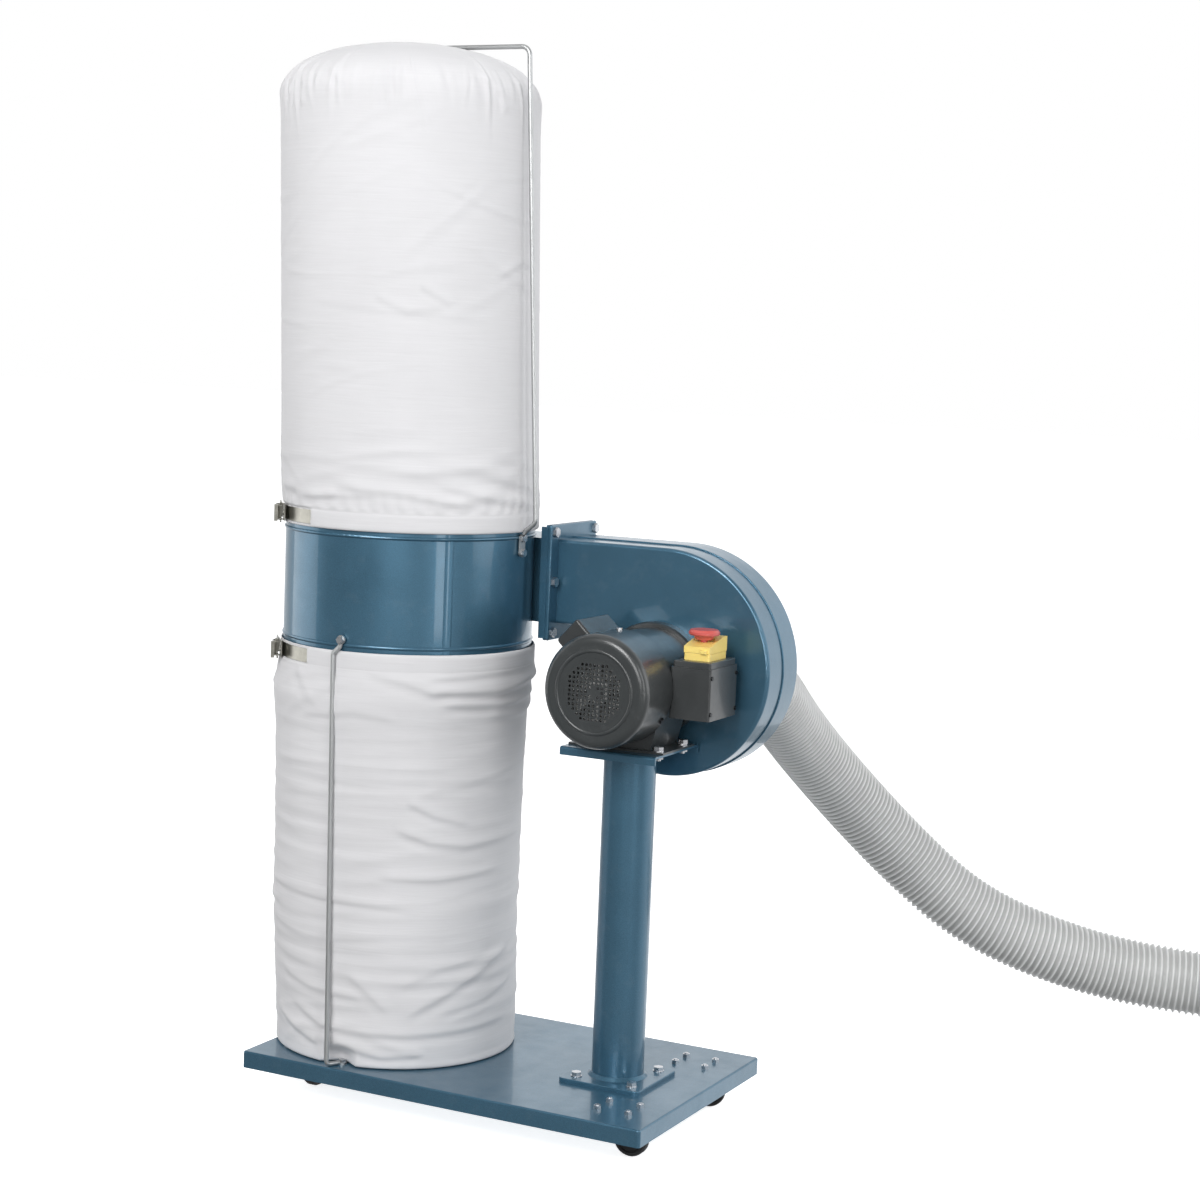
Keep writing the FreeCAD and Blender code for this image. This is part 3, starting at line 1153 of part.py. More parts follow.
def flexible_hose():
    wire, radii = tube_wire(DUCT_ROUTE, run_bend)
    outer, inner = sweep(wire, DUCT_R), sweep(wire, DUCT_R - DUCT_WALL)
    hose = outer.cut(inner)
    section = pi * (DUCT_R ** 2 - (DUCT_R - DUCT_WALL) ** 2)
    print("duct bend radii:", [round(r) for r in radii])
    print("duct length %.0f, volume over section times length %.4f"
          % (wire.Length, hose.Volume / section / wire.Length))
    return hose


CUFF_OVERLAP = 45.0
CUFF_LENGTH = 95.0
CUFF_BORE_R = 50.0


def hose_cuff():
    """Moulded end cuff: it screws over the duct's end and takes a 100 mm spigot."""
    last, before = V(*DUCT_ROUTE[-1]), V(*DUCT_ROUTE[-2])
    out = (last - before).normalize()
    profile = [(DUCT_R + 0.1, -CUFF_OVERLAP), (DUCT_R + 0.9, -CUFF_OVERLAP), (DUCT_R + 0.9, 4)]
    length = CUFF_LENGTH - CUFF_OVERLAP
    profile += [(CUFF_BORE_R + 4, 10), (CUFF_BORE_R + 4, length), (CUFF_BORE_R, length)]
    profile += [(CUFF_BORE_R, 0.1), (DUCT_R + 0.1, 0.1)]
    side = UP
    wire = [last + side * r + out * s for r, s in profile]
    face = Part.Face(Part.makePolygon(wire + [wire[0]]))
    return face.revolve(last, out, 360)


# ---- all nodes ----------------------------------------------------------------------
def nodes():
    made = {
        "base_plate": base_plate(),
        "caster_plates": caster_plates(),
        "post_tube": post_tube(),
        "post_foot_plate": post_foot_plate(),
        "motor_platform": motor_platform(),
        "motor_feet": motor_feet(),
        "motor_body": motor_body(),
        "motor_front_bell": motor_front_bell(),
        "motor_rear_bell": motor_rear_bell(),
        "fan_cowl": fan_cowl(),
        "cowl_guard": cowl_guard(),
        "motor_screws": motor_screws(),
        "stator_core": stator_core(),
        "motor_bearings": motor_bearings(),
        "motor_shaft": motor_shaft(),
        "cooling_fan": cooling_fan(),
        "capacitor_cover": capacitor_cover(),
        "capacitor": capacitor(),
        "switch_box": switch_box(),
        "switch_box_lid": switch_box_lid(),
        "switch_frame": switch_frame(),
        "start_button": start_button(),
        "stop_button": stop_button(),
        "switch_flap": switch_flap(),
        "mushroom_button": mushroom_button(),
        "cable_gland": cable_gland(),
        "blower_front_shell": blower_front_shell(),
        "blower_rear_shell": blower_rear_shell(),
        "inlet_collar": inlet_collar(),
        "outlet_flange": outlet_flange(),
        "flange_gasket": flange_gasket(),
        "drum_duct": drum_duct(),
        "impeller": impeller(),
        "impeller_nut": impeller_nut(),
        "drum_ring": drum_ring(),
        "upper_bag": upper_bag(),
        "lower_bag": lower_bag(),
        "upper_band": bag_band(UPPER_BAND_Z),
        "lower_band": bag_band(LOWER_BAND_Z),
        "latch_bases": group(latch_base(UPPER_BAND_Z) + latch_base(LOWER_BAND_Z)),
        "upper_latch_lever": latch_lever(UPPER_BAND_Z),
        "upper_latch_bail": latch_bail(UPPER_BAND_Z),
        "lower_latch_lever": latch_lever(LOWER_BAND_Z),
        "lower_latch_bail": latch_bail(LOWER_BAND_Z),
        "hanger_rod": hanger_rod(),
        "stay_rods": group([stay_rod(-1), stay_rod(1)]),
        "bag_loop": bag_loop(),
        "m8_bolts": m8_bolts(),
        "m6_bolts": m6_bolts(),
        "hose_clamp": hose_clamp(),
        "flexible_hose": flexible_hose(),
        "hose_cuff": hose_cuff(),
    }
    for place, (x, y, heading) in CASTERS.items():
        made["caster_fork_" + place] = caster_fork(x, y, heading)
        made["caster_wheel_" + place] = caster_wheel(x, y, heading)
    return made


def main():
    os.makedirs("parts", exist_ok=True)
    low, high = V(1e9, 1e9, 1e9), V(-1e9, -1e9, -1e9)
    for name, shape in nodes().items():
        shape.translate(ORIGIN * -1)
        if not shape.isValid() or not shape.Solids:
            print("check", name)
        shape.exportStep("parts/%s.step" % name)
        if name in ("flexible_hose", "hose_cuff"):
            continue
        b = shape.optimalBoundingBox(False)
        low = V(min(low.x, b.XMin), min(low.y, b.YMin), min(low.z, b.ZMin))
        high = V(max(high.x, b.XMax), max(high.y, b.YMax), max(high.z, b.ZMax))
    print("box without the duct", low, high, "middle", (low + high) * 0.5)


main()
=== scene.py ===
"""Looks of a mobile two-bag dust collector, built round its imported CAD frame.

The frame brings every metal and moulded part. This script adds what cloth and ribbed plastic
do: the filter bag, the collecting bag and the flexible duct, and the drum's lapped seam. It
paints everything with node materials, and sets a pale studio with a camera.

Metres, in the frame's own axes: +X from the bags to the post, +Y to the inlet side, +Z up.
"""

import json
from math import cos, pi, radians, sin

import bpy
import numpy as np
from mathutils import Matrix, Vector


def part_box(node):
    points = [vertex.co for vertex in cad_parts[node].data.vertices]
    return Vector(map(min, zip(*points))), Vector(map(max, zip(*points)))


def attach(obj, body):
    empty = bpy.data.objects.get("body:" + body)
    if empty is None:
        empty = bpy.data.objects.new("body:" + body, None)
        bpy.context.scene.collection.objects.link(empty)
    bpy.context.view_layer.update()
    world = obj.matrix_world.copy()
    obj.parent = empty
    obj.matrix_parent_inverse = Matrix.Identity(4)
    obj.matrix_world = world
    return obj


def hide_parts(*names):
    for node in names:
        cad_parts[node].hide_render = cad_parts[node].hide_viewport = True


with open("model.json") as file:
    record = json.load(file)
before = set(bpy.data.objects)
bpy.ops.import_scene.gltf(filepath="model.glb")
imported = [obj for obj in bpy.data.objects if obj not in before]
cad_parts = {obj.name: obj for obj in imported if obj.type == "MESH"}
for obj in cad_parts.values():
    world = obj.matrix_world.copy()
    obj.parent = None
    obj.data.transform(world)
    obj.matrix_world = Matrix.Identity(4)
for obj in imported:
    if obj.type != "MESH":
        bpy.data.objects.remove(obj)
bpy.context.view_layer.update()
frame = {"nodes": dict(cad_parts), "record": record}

NODES = frame["nodes"]
BODY = "machine"
SEED = 7

# ---- places taken from the frame ----------------------------------------------------
DRUM_LOW, DRUM_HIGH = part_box("drum_ring")
DRUM_X, DRUM_Y = (DRUM_LOW.x + DRUM_HIGH.x) / 2, (DRUM_LOW.y + DRUM_HIGH.y) / 2
BAND_UP_Z0, BAND_UP_Z1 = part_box("upper_band")[0].z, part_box("upper_band")[1].z
BAND_LOW_Z0, BAND_LOW_Z1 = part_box("lower_band")[0].z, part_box("lower_band")[1].z
CROWN_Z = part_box("upper_bag")[1].z
TRAY_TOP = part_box("base_plate")[1].z
DRUM_R = 0.185
HEM_GAP = radians(229.0)  # the middle of the hems' openings at the latches
HEM_GAP_HALF, HEM_GAP_SOFT = radians(21), radians(2.5)
THREAD_PITCH = 0.0016


# ---- node materials -----------------------------------------------------------------
class Shader:
    """A node material that is built up from left to right on a Principled shader."""

    def __init__(self, name, **sockets):
        self.material = bpy.data.materials.new(name)
        self.material.use_nodes = True
        self.tree = self.material.node_tree
        self.surface = self.tree.nodes["Principled BSDF"]
        self.place = self.node("ShaderNodeTexCoord").outputs["Object"]
        for key, value in sockets.items():
            self.surface.inputs[key.replace("_", " ")].default_value = value

    def node(self, kind, **settings):
        made = self.tree.nodes.new(kind)
        for key, value in settings.items():
            if key in made.inputs:
                made.inputs[key].default_value = value
            else:
                setattr(made, key, value)
        return made

    def link(self, source, target):
        self.tree.links.new(source, target)

    def stretched(self, x, y, z):
        """The object's coordinates, scaled along each axis."""
        mapping = self.node("ShaderNodeMapping")
        mapping.inputs["Scale"].default_value = (x, y, z)
        self.link(self.place, mapping.inputs["Vector"])
        return mapping.outputs["Vector"]

    def noise(self, scale, detail=3.0, roughness=0.5, place=None, distortion=0.0):
        made = self.node("ShaderNodeTexNoise", Scale=scale, Detail=detail, Roughness=roughness,
                         Distortion=distortion)
        self.link(place or self.place, made.inputs["Vector"])
        return made.outputs["Fac"]

    def ramp(self, value, *stops):
        """Colours or grey levels at positions from 0 to 1."""
        made = self.node("ShaderNodeValToRGB")
        while len(made.color_ramp.elements) < len(stops):
            made.color_ramp.elements.new(0.5)
        for element, (position, colour) in zip(made.color_ramp.elements, stops):
            element.position = position
            if not hasattr(colour, "__len__"):
                colour = (colour,) * 3
            element.color = (*colour, 1)
        self.link(value, made.inputs["Fac"])
        return made.outputs["Color"]

    def math(self, kind, a, b=0.0):
        made = self.node("ShaderNodeMath", operation=kind)
        for socket, value in zip(made.inputs, (a, b)):
            if isinstance(value, (int, float)):
                socket.default_value = value
            else:
                self.link(value, socket)
        return made.outputs[0]

    def mix(self, share, a, b, blend="MIX"):
        made = self.node("ShaderNodeMix", data_type="RGBA", blend_type=blend)
        sockets = (made.inputs[0], made.inputs[6], made.inputs[7])
        for socket, value in zip(sockets, (share, a, b)):
            if isinstance(value, (int, float)):
                socket.default_value = value
            elif hasattr(value, "__len__"):
                socket.default_value = (*value, 1)
            else:
                self.link(value, socket)
        return made.outputs[2]

    def bump(self, height, distance, strength=1.0, before=None):
        made = self.node("ShaderNodeBump", Strength=strength, Distance=distance)
        self.link(height, made.inputs["Height"])
        if before is not None:
            self.link(before, made.inputs["Normal"])
        return made.outputs["Normal"]

    def finish(self, **links):
        for key, value in links.items():
            self.link(value, self.surface.inputs[key.replace("_", " ")])
        return self.material


def tint(colour, factor):
    return tuple(min(1.0, c * factor) for c in colour)


def paint(name, colour, metallic=0.0, rough=0.35, coat=0.6, coat_rough=0.06, peel=1.0, fleck=0.12):
    """Sprayed enamel: fine flake, slow drift of tone, orange peel and a clear coat."""
    s = Shader(name, Metallic=metallic, Coat_Weight=coat, Coat_Roughness=coat_rough)
    flake = s.ramp(s.noise(1400, 2, 0.6), (0.30, tint(colour, 1 - fleck)),
                   (0.70, tint(colour, 1 + fleck)))
    drift = s.ramp(s.noise(5, 3), (0.3, 0.93), (0.7, 1.05))
    dust = s.ramp(s.noise(38, 6, 0.65), (0.55, 0.0), (0.85, 0.05))
    base = s.mix(1.0, flake, drift, "MULTIPLY")
    base = s.mix(dust, base, (0.55, 0.57, 0.58))
    level = s.ramp(s.noise(24, 5, 0.6), (0.35, rough - 0.05), (0.70, rough + 0.06))
    skin = s.bump(s.noise(330, 2), 0.00006 * peel, 0.6)
    return s.finish(Base_Color=base, Roughness=level, Normal=skin)


def moulded(name, colour, rough=0.4, grain=900, depth=0.00005, worn=0.08, coat=0.0, sub=0.0):
    """Moulded plastic or rubber: fine texture, tone drift and faint handling marks."""
    s = Shader(name, Coat_Weight=coat, Coat_Roughness=0.12, Subsurface_Weight=sub)
    s.surface.inputs["Subsurface Radius"].default_value = (0.004, 0.003, 0.002)
    tone = s.ramp(s.noise(12, 4), (0.3, tint(colour, 0.9)), (0.7, tint(colour, 1.1)))
    marks = s.ramp(s.noise(75, 7, 0.7, distortion=0.6), (0.56, 0.0), (0.80, worn))
    base = s.mix(marks, tone, tint(colour, 1.0 + 2.5 * worn))
    level = s.ramp(s.noise(45, 5, 0.6), (0.3, rough - 0.05), (0.75, rough + 0.09))
    return s.finish(Base_Color=base, Roughness=level, Normal=s.bump(s.noise(grain, 2), depth, 0.7))


def metal(name, colour, rough=0.25, streak=(30, 30, 900), depth=0.00002, spots=0.15, vary=1.0):
    """Plated or machined metal, with directional fine lines and cloudy tone."""
    s = Shader(name, Metallic=1.0)
    cloud = s.ramp(s.noise(60, 5, 0.6), (0.3, tint(colour, 1 - spots)),
                   (0.75, tint(colour, 1 + spots / 2)))
    lines = s.noise(1.0, 3, 0.6, s.stretched(*streak))
    tone = s.ramp(lines, (0.3, 0.88), (0.7, 1.0))
    level = s.ramp(s.noise(90, 5, 0.65), (0.3, rough - 0.06 * vary), (0.75, rough + 0.12 * vary))
    base = s.mix(1.0, cloud, tone, "MULTIPLY")
    return s.finish(Base_Color=base, Roughness=level, Normal=s.bump(lines, depth, 0.6))


def cloth(name, colour, wrinkle=0.0018, sheen=0.25, rough=0.85):
    """Close woven filter cloth, whose threads run round the bag and up it."""
    s = Shader(name, Sheen_Weight=sheen, Sheen_Roughness=0.4)
    split = s.node("ShaderNodeSeparateXYZ")
    s.link(s.place, split.inputs["Vector"])
    x = s.math("SUBTRACT", split.outputs["X"], DRUM_X)
    y = s.math("SUBTRACT", split.outputs["Y"], DRUM_Y)
    round_it = s.math("MULTIPLY", s.math("ARCTAN2", y, x), DRUM_R)
    threads = 2 * pi / THREAD_PITCH
    warp = s.math("SINE", s.math("MULTIPLY", round_it, threads))
    weft = s.math("SINE", s.math("MULTIPLY", split.outputs["Z"], threads))
    weave = s.math("MULTIPLY", warp, weft)
    slub = s.noise(1.0, 4, 0.6, s.stretched(14, 14, 420))
    creased = s.noise(1.0, 5, 0.55, s.stretched(6, 6, 62), distortion=0.7)
    tone = s.ramp(s.noise(7, 4), (0.3, tint(colour, 0.965)), (0.7, tint(colour, 1.02)))
    thread_tone = s.ramp(slub, (0.35, 0.97), (0.65, 1.0))
    base = s.mix(1.0, tone, thread_tone, "MULTIPLY")
    soft = s.bump(creased, wrinkle, 0.35)
    slubbed = s.bump(slub, 0.00008, 0.5, soft)
    woven = s.bump(weave, 0.00005, 0.35, slubbed)
    level = s.ramp(slub, (0.3, rough - 0.05), (0.7, rough + 0.05))
    return s.finish(Base_Color=base, Roughness=level, Normal=woven)


def ribbed(name, valley, rib):
    """Soft vinyl duct: paler rounded ribs of its helix and a darker thin wall between them. The
    colour step is partly the helix's own tone and partly painted highlight on the ribs and painted
    shade in the valleys.
    """
    s = Shader(name, Coat_Weight=0.15, Coat_Roughness=0.2)
    part = s.node("ShaderNodeAttribute", attribute_name="rib").outputs["Fac"]
    cloud = s.ramp(s.noise(9, 4), (0.3, 0.95), (0.7, 1.03))
    # the ridge share picks a paler colour on the ribs and a darker one in the valleys: partly real
    # tone, partly painted highlight and painted shade
    base = s.mix(1.0, s.ramp(part, (0.0, valley), (0.85, rib)), cloud, "MULTIPLY")
    level = s.ramp(s.noise(60, 4), (0.3, 0.36), (0.7, 0.44))
    return s.finish(Base_Color=base, Roughness=level, Normal=s.bump(s.noise(700, 2), 0.00002, 0.5))


def screw_finish(name, box_x):
    """Zinc plate on the motor's screws, and black oxide on those of the switch box."""
    s = Shader(name, Metallic=1.0)
    split = s.node("ShaderNodeSeparateXYZ")
    s.link(s.place, split.inputs["Vector"])
    black = s.math("GREATER_THAN", split.outputs["X"], box_x)
    cloud = s.ramp(s.noise(90, 4), (0.3, 0.9), (0.7, 1.0))
    base = s.mix(1.0, s.mix(black, (0.66, 0.67, 0.69), (0.035, 0.037, 0.040)), cloud, "MULTIPLY")
    level = s.ramp(s.noise(160, 4), (0.3, 0.26), (0.7, 0.36))
    return s.finish(Base_Color=base, Roughness=level)


BLUE = (0.053, 0.142, 0.216)
MATERIALS = {
    "blue_paint": paint("enamel_blue", BLUE, metallic=0.55, rough=0.33, coat=0.5, coat_rough=0.05,
                        fleck=0.22),
    "black_paint": paint("enamel_black", (0.030, 0.034, 0.035), metallic=0.0, rough=0.36,
                         coat=0.6, coat_rough=0.20, peel=2.2, fleck=0.1),
    "black_plastic": moulded("plastic_black", (0.032, 0.035, 0.036), rough=0.38, grain=1100,
                             depth=0.00007, worn=0.25, coat=0.4),
    "caster_black": moulded("caster_black", (0.016, 0.016, 0.017), rough=0.5, grain=700,
                            depth=0.00006, worn=0.3),
    "yellow_plastic": moulded("plastic_yellow", (0.86, 0.66, 0.19), rough=0.32, grain=1500,
                              depth=0.00002, worn=0.02, coat=0.3, sub=0.1),
    "red_plastic": moulded("plastic_red", (0.60, 0.10, 0.085), rough=0.33, grain=1500,
                           depth=0.00002, worn=0.05, coat=0.3, sub=0.1),
    "green_plastic": moulded("plastic_green", (0.03, 0.30, 0.09), rough=0.33, grain=1500,
                             depth=0.00002, worn=0.05, coat=0.3, sub=0.1),
    "zinc": metal("zinc_plate", (0.66, 0.67, 0.69), rough=0.27, streak=(25, 25, 25), depth=0.0,
                  spots=0.04),
    "zinc_rod": metal("zinc_rod", (0.52, 0.53, 0.53), rough=0.46, streak=(9, 9, 9), depth=0.0,
                      spots=0.03, vary=0.12),
    "nickel": metal("nickel_latch", (0.40, 0.39, 0.345), rough=0.30, streak=(40, 40, 40),
                    depth=0.00002, spots=0.2, vary=0.5),
    "steel": metal("steel_plain", (0.52, 0.53, 0.55), rough=0.33),
    "aluminium": metal("aluminium_cast", (0.66, 0.67, 0.68), rough=0.42, streak=(60, 60, 60),
                       depth=0.00012),
    "rubber": moulded("rubber_black", (0.020, 0.020, 0.021), rough=0.72, grain=600, depth=0.00010,
                      worn=0.4),
    "bag_cloth": cloth("filter_cloth", (0.648, 0.643, 0.655)),
    "strap_cloth": cloth("tape_cloth", (0.70, 0.70, 0.70)),
    # valley and rib colours: partly the duct's own tones, partly painted shade in the valleys and
    # painted highlight on the ribs
    "hose_plastic": ribbed("duct_grey", (0.47, 0.475, 0.47), (0.86, 0.865, 0.86)),
    "fan_plastic": moulded("fan_grey", (0.50, 0.50, 0.49), rough=0.45, grain=800, depth=0.00005,
                           worn=0.1),
}


def material_of(piece, name):
    """Gives a piece one of the finishes."""
    piece.data.materials.clear()
    piece.data.materials.append(MATERIALS[name])


for part in frame["record"]["subparts"]:
    for used in NODES[part["node"]].material_slots:
        used.material = MATERIALS[part["material_slot"]]
RODS = ("hanger_rod", "stay_rods")
LATCHES = ("upper_band", "lower_band", "latch_bases", "upper_latch_lever", "lower_latch_lever",
           "upper_latch_bail", "lower_latch_bail")
for group, finish in ((RODS, "zinc_rod"), (LATCHES, "nickel")):
    for node in group:
        NODES[node].material_slots[0].material = MATERIALS[finish]
SCREW_MARGIN = 0.004
box_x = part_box("switch_box")[0].x - SCREW_MARGIN
NODES["motor_screws"].material_slots[0].material = screw_finish("screw_plate", box_x)


# ---- mesh helpers -------------------------------------------------------------------
def smooth_mesh(name, points, faces):
    mesh = bpy.data.meshes.new(name)
    mesh.from_pydata([tuple(p) for p in points], [], faces)
    mesh.update()
    for polygon in mesh.polygons:
        polygon.use_smooth = True
    piece = bpy.data.objects.new(name, mesh)
    bpy.context.scene.collection.objects.link(piece)
    return piece


def lattice(name, rows, closed=True):
    """Mesh through rows of points: rows[i][j] goes round if closed."""
    rows = np.asarray(rows)
    count, sides = rows.shape[:2]
    faces = []
    for i in range(count - 1):
        for j in range(sides if closed else sides - 1):
            k = (j + 1) % sides
            faces.append((i * sides + j, i * sides + k, (i + 1) * sides + k, (i + 1) * sides + j))
    return smooth_mesh(name, rows.reshape(-1, 3), faces)


def smoothstep(edge0, edge1, value):
    t = np.clip((value - edge0) / (edge1 - edge0), 0, 1)
    return t * t * (3 - 2 * t)


def resample(profile, spacing):
    """Points at even distances along a smooth line through (radius, height) points."""
    profile = np.asarray(profile, float)
    chord = np.r_[0, np.cumsum(np.hypot(*np.diff(profile, axis=0).T))]
    dense = np.linspace(0, chord[-1], 1200)
    line = np.stack([monotone(chord, profile[:, k], dense) for k in (0, 1)], 1)
    run = np.r_[0, np.cumsum(np.hypot(*np.diff(line, axis=0).T))]
    even = np.linspace(0, run[-1], max(2, int(run[-1] / spacing) + 1))
    return np.stack([np.interp(even, run, line[:, k]) for k in (0, 1)], 1)


def monotone(x, y, at):
    """Cubic through the points that doesn't overshoot between them."""
    h, d = np.diff(x), np.diff(y) / np.diff(x)
    slope = np.zeros(len(y))
    same = d[:-1] * d[1:] > 0
    mean = np.where(same, 2 * d[:-1] * d[1:] / np.where(same, d[:-1] + d[1:], 1), 0)
    slope[1:-1], slope[0], slope[-1] = mean, d[0], d[-1]
    i = np.clip(np.searchsorted(x, at, side="right") - 1, 0, len(h) - 1)
    t = (at - x[i]) / h[i]
    a, b = (1 + 2 * t) * (1 - t) ** 2, t * (1 - t) ** 2
    c, e = t * t * (3 - 2 * t), t * t * (t - 1)
    return a * y[i] + b * h[i] * slope[i] + c * y[i + 1] + e * h[i] * slope[i + 1]


def denser(grid, times, axis, periodic):
    """Cubic interpolation of a grid of points along one axis."""
    grid = np.moveaxis(grid, axis, 0)
    count = len(grid)
    last = count if periodic else count - 1
    at = np.arange(last * times + (0 if periodic else 1)) / times
    i = np.minimum(at.astype(int), last - 1)
    t = (at - i).reshape(-1, *[1] * (grid.ndim - 1))

    def pick(k):
        k = i + k
        return grid[k % count] if periodic else grid[np.clip(k, 0, count - 1)]

    before, here, after, beyond = (pick(k) for k in (-1, 0, 1, 2))
    made = here + 0.5 * t * (after - before + t * (2 * before - 5 * here + 4 * after - beyond
                                                   + t * (3 * (here - after) + beyond - before)))
    return np.moveaxis(made, 0, axis)


# ---- bags ---------------------------------------------------------------------------
def simulated(name, rows, rest_rows, pinned, pressure, cap, frames=24):
    """Cloth simulation of an open tube of cloth; returns its rows of points.

    The cloth is cut to rest_rows and starts at rows, so its extra length has to fold. Its
    pinned rows stay, and no point moves further than cap.
    """
    piece = lattice(name, rows)
    piece.shape_key_add(name="start")
    rest = piece.shape_key_add(name="cut")
    rest.data.foreach_set("co", np.asarray(rest_rows, np.float32).ravel())
    rest.value = 0.0
    sides = rows.shape[1]
    group = piece.vertex_groups.new(name="held")
    for row, weight in pinned:
        group.add(list(range(row * sides, (row + 1) * sides)), weight, "REPLACE")
    modifier = piece.modifiers.new("cloth", "CLOTH")
    setting = modifier.settings
    setting.quality = 7
    setting.mass = 0.15
    setting.air_damping = 4.0
    setting.tension_stiffness = setting.compression_stiffness = 25.0
    setting.shear_stiffness = 8.0
    setting.bending_stiffness = 0.35
    setting.use_pressure = True
    setting.uniform_pressure_force = pressure
    setting.vertex_group_mass = "held"
    setting.rest_shape_key = rest
    setting.effector_weights.gravity = 0.0
    modifier.point_cache.frame_start, modifier.point_cache.frame_end = 1, frames
    scene = bpy.context.scene
    for at in range(1, frames + 1):
        scene.frame_set(at)
    done = piece.evaluated_get(bpy.context.evaluated_depsgraph_get()).to_mesh()
    points = np.empty(len(done.vertices) * 3)
    done.vertices.foreach_get("co", points)
    scene.frame_set(1)
    mesh = piece.data
    bpy.data.objects.remove(piece)
    bpy.data.meshes.remove(mesh)
    move = points.reshape(rows.shape) - rows
    size = np.linalg.norm(move, axis=2, keepdims=True)
    return rows + move * np.minimum(1.0, cap / np.maximum(size, 1e-9))


HOLLOW_SHARE, HOLLOW_OFF, HOLLOW_WIDE = 0.55, 1.7, 1.2  # the hollow beside each crease


def creases(rng, angle, height, count, z_range, length, width, depth, slope):
    """Sum of soft ridges, each with a hollow beside it, over a bag's angle and height."""
    total = np.zeros_like(angle)
    for _ in range(count):
        a0, z0 = rng.uniform(-pi, pi), rng.uniform(*z_range)
        tilt, long, wide = rng.normal(*slope), rng.uniform(*length), rng.uniform(*width)
        rise, bow = rng.uniform(*depth), rng.uniform(-1.2, 1.2)
        across = (angle - a0 + pi) % (2 * pi) - pi
        u, v = across * DRUM_R, height - z0
        along = u * cos(tilt) + v * sin(tilt)
        off = (-u * sin(tilt) + v * cos(tilt) + bow * along ** 2) / wide
        fade = np.exp(-(along / long) ** 4)
        hollow = HOLLOW_SHARE * np.exp(-((off + HOLLOW_OFF) / HOLLOW_WIDE) ** 2)
        total += rise * fade * (np.exp(-off ** 2) - hollow)
    return total


FOLD_STEEP, FOLD_GENTLE = 0.7, 1.6  # widths of a fold's two sides
FOLD_HOLLOW, FOLD_HOLLOW_OFF, FOLD_HOLLOW_WIDE = 0.5, 1.6, 0.9
FOLD_TAPER = 0.16  # share of a fold's length over which each end fades


def folds(angle, height, lines):
    """Sum of drawn folds: each has (degrees, millimetres up) points, a rise and a width."""
    total = np.zeros_like(angle)
    u, v = np.degrees(angle), height * 1000
    arm = DRUM_R * 1000 * pi / 180
    for points, rise, wide in lines:
        best, side, along = np.full_like(u, 1e9), np.zeros_like(u), np.zeros_like(u)
        count = len(points) - 1
        for k in range(count):
            (a0, z0), (a1, z1) = points[k], points[k + 1]
            across = ((u - a0 + 180) % 360 - 180) * arm
            dx, dz = (a1 - a0) * arm, z1 - z0
            long = (dx * dx + dz * dz) ** 0.5
            t = np.clip((across * dx + (v - z0) * dz) / long ** 2, 0, 1)
            gap = np.hypot(across - t * dx, v - z0 - t * dz)
            turn = (across * dz - (v - z0) * dx) / long
            nearer = gap < best
            best = np.where(nearer, gap, best)
            side = np.where(nearer, np.sign(turn), side)
            along = np.where(nearer, (k + t) / count, along)
        x = side * best / wide
        shape = np.where(x > 0, np.exp(-(x / FOLD_STEEP) ** 2), np.exp(-(x / FOLD_GENTLE) ** 2))
        shape = shape - FOLD_HOLLOW * np.exp(-((x - FOLD_HOLLOW_OFF) / FOLD_HOLLOW_WIDE) ** 2)
        ends = smoothstep(0, FOLD_TAPER, along) * smoothstep(0, FOLD_TAPER, 1 - along)
        total += rise * shape * ends
    return total


def near_angle(angle, centre, half, soft):
    """1 inside an arc, 0 outside it."""
    apart = np.abs((angle - centre + pi) % (2 * pi) - pi)
    return 1 - smoothstep(half, half + soft, apart)


SIDES = 100
REFINE = 4
HEM_TIGHT_R = 0.1872  # under the band, where the hem is open
HEM_PUFF_R0, HEM_PUFF_R1 = 0.1890, 0.1899  # the hem's outer skin, which shares the cloth's rise
LEAN_FOOT, LEAN_FOOT_Z0, LEAN_FOOT_Z1 = 0.003, 0.865, 0.92
LEAN_UP, LEAN_UP_Z, LEAN_UP_RUN, LEAN_UP_END = 0.019, 0.884, 0.571, 1.05
MIDDLE = np.array([DRUM_X, DRUM_Y])


def ring_points(radius, height, sides):
    """A level ring of points round the drum's axis."""
    angle = np.arange(sides) * 2 * pi / sides
    return np.stack([DRUM_X + radius * np.cos(angle), DRUM_Y + radius * np.sin(angle),
                     np.broadcast_to(height, angle.shape)], 1)


def hem_rows(stations, angle, puff):
    """Rows of a sewn hem from (radius, height) stations, open where the band shows.

    Puff is the cloth's own rise over the band, in metres, round the bag.
    """
    drawn = near_angle(angle, HEM_GAP, HEM_GAP_HALF, HEM_GAP_SOFT)
    rows = []
    for radius, height in stations:
        tight = min(radius, HEM_TIGHT_R)
        r = radius + puff * smoothstep(HEM_PUFF_R0, HEM_PUFF_R1, radius)
        r = r + (tight - r) * drawn
        rows.append(np.stack([DRUM_X + r * np.cos(angle), DRUM_Y + r * np.sin(angle),
                              np.full_like(angle, height)], 1))
    return rows


def radial_move(rows, centres, amount):
    """Moves points straight away from the bag's own axis by amount."""
    away = rows[..., :2] - centres
    away /= np.maximum(np.linalg.norm(away, axis=-1, keepdims=True), 1e-9)
    rows[..., :2] += away * amount[..., None]
    return rows


def lean(height):
    """How far the filter bag's axis has moved from the drum's, at a height."""
    foot = -LEAN_FOOT * smoothstep(LEAN_FOOT_Z0, LEAN_FOOT_Z1, height)
    return foot - LEAN_UP * np.clip((height - LEAN_UP_Z) / LEAN_UP_RUN, 0, LEAN_UP_END)


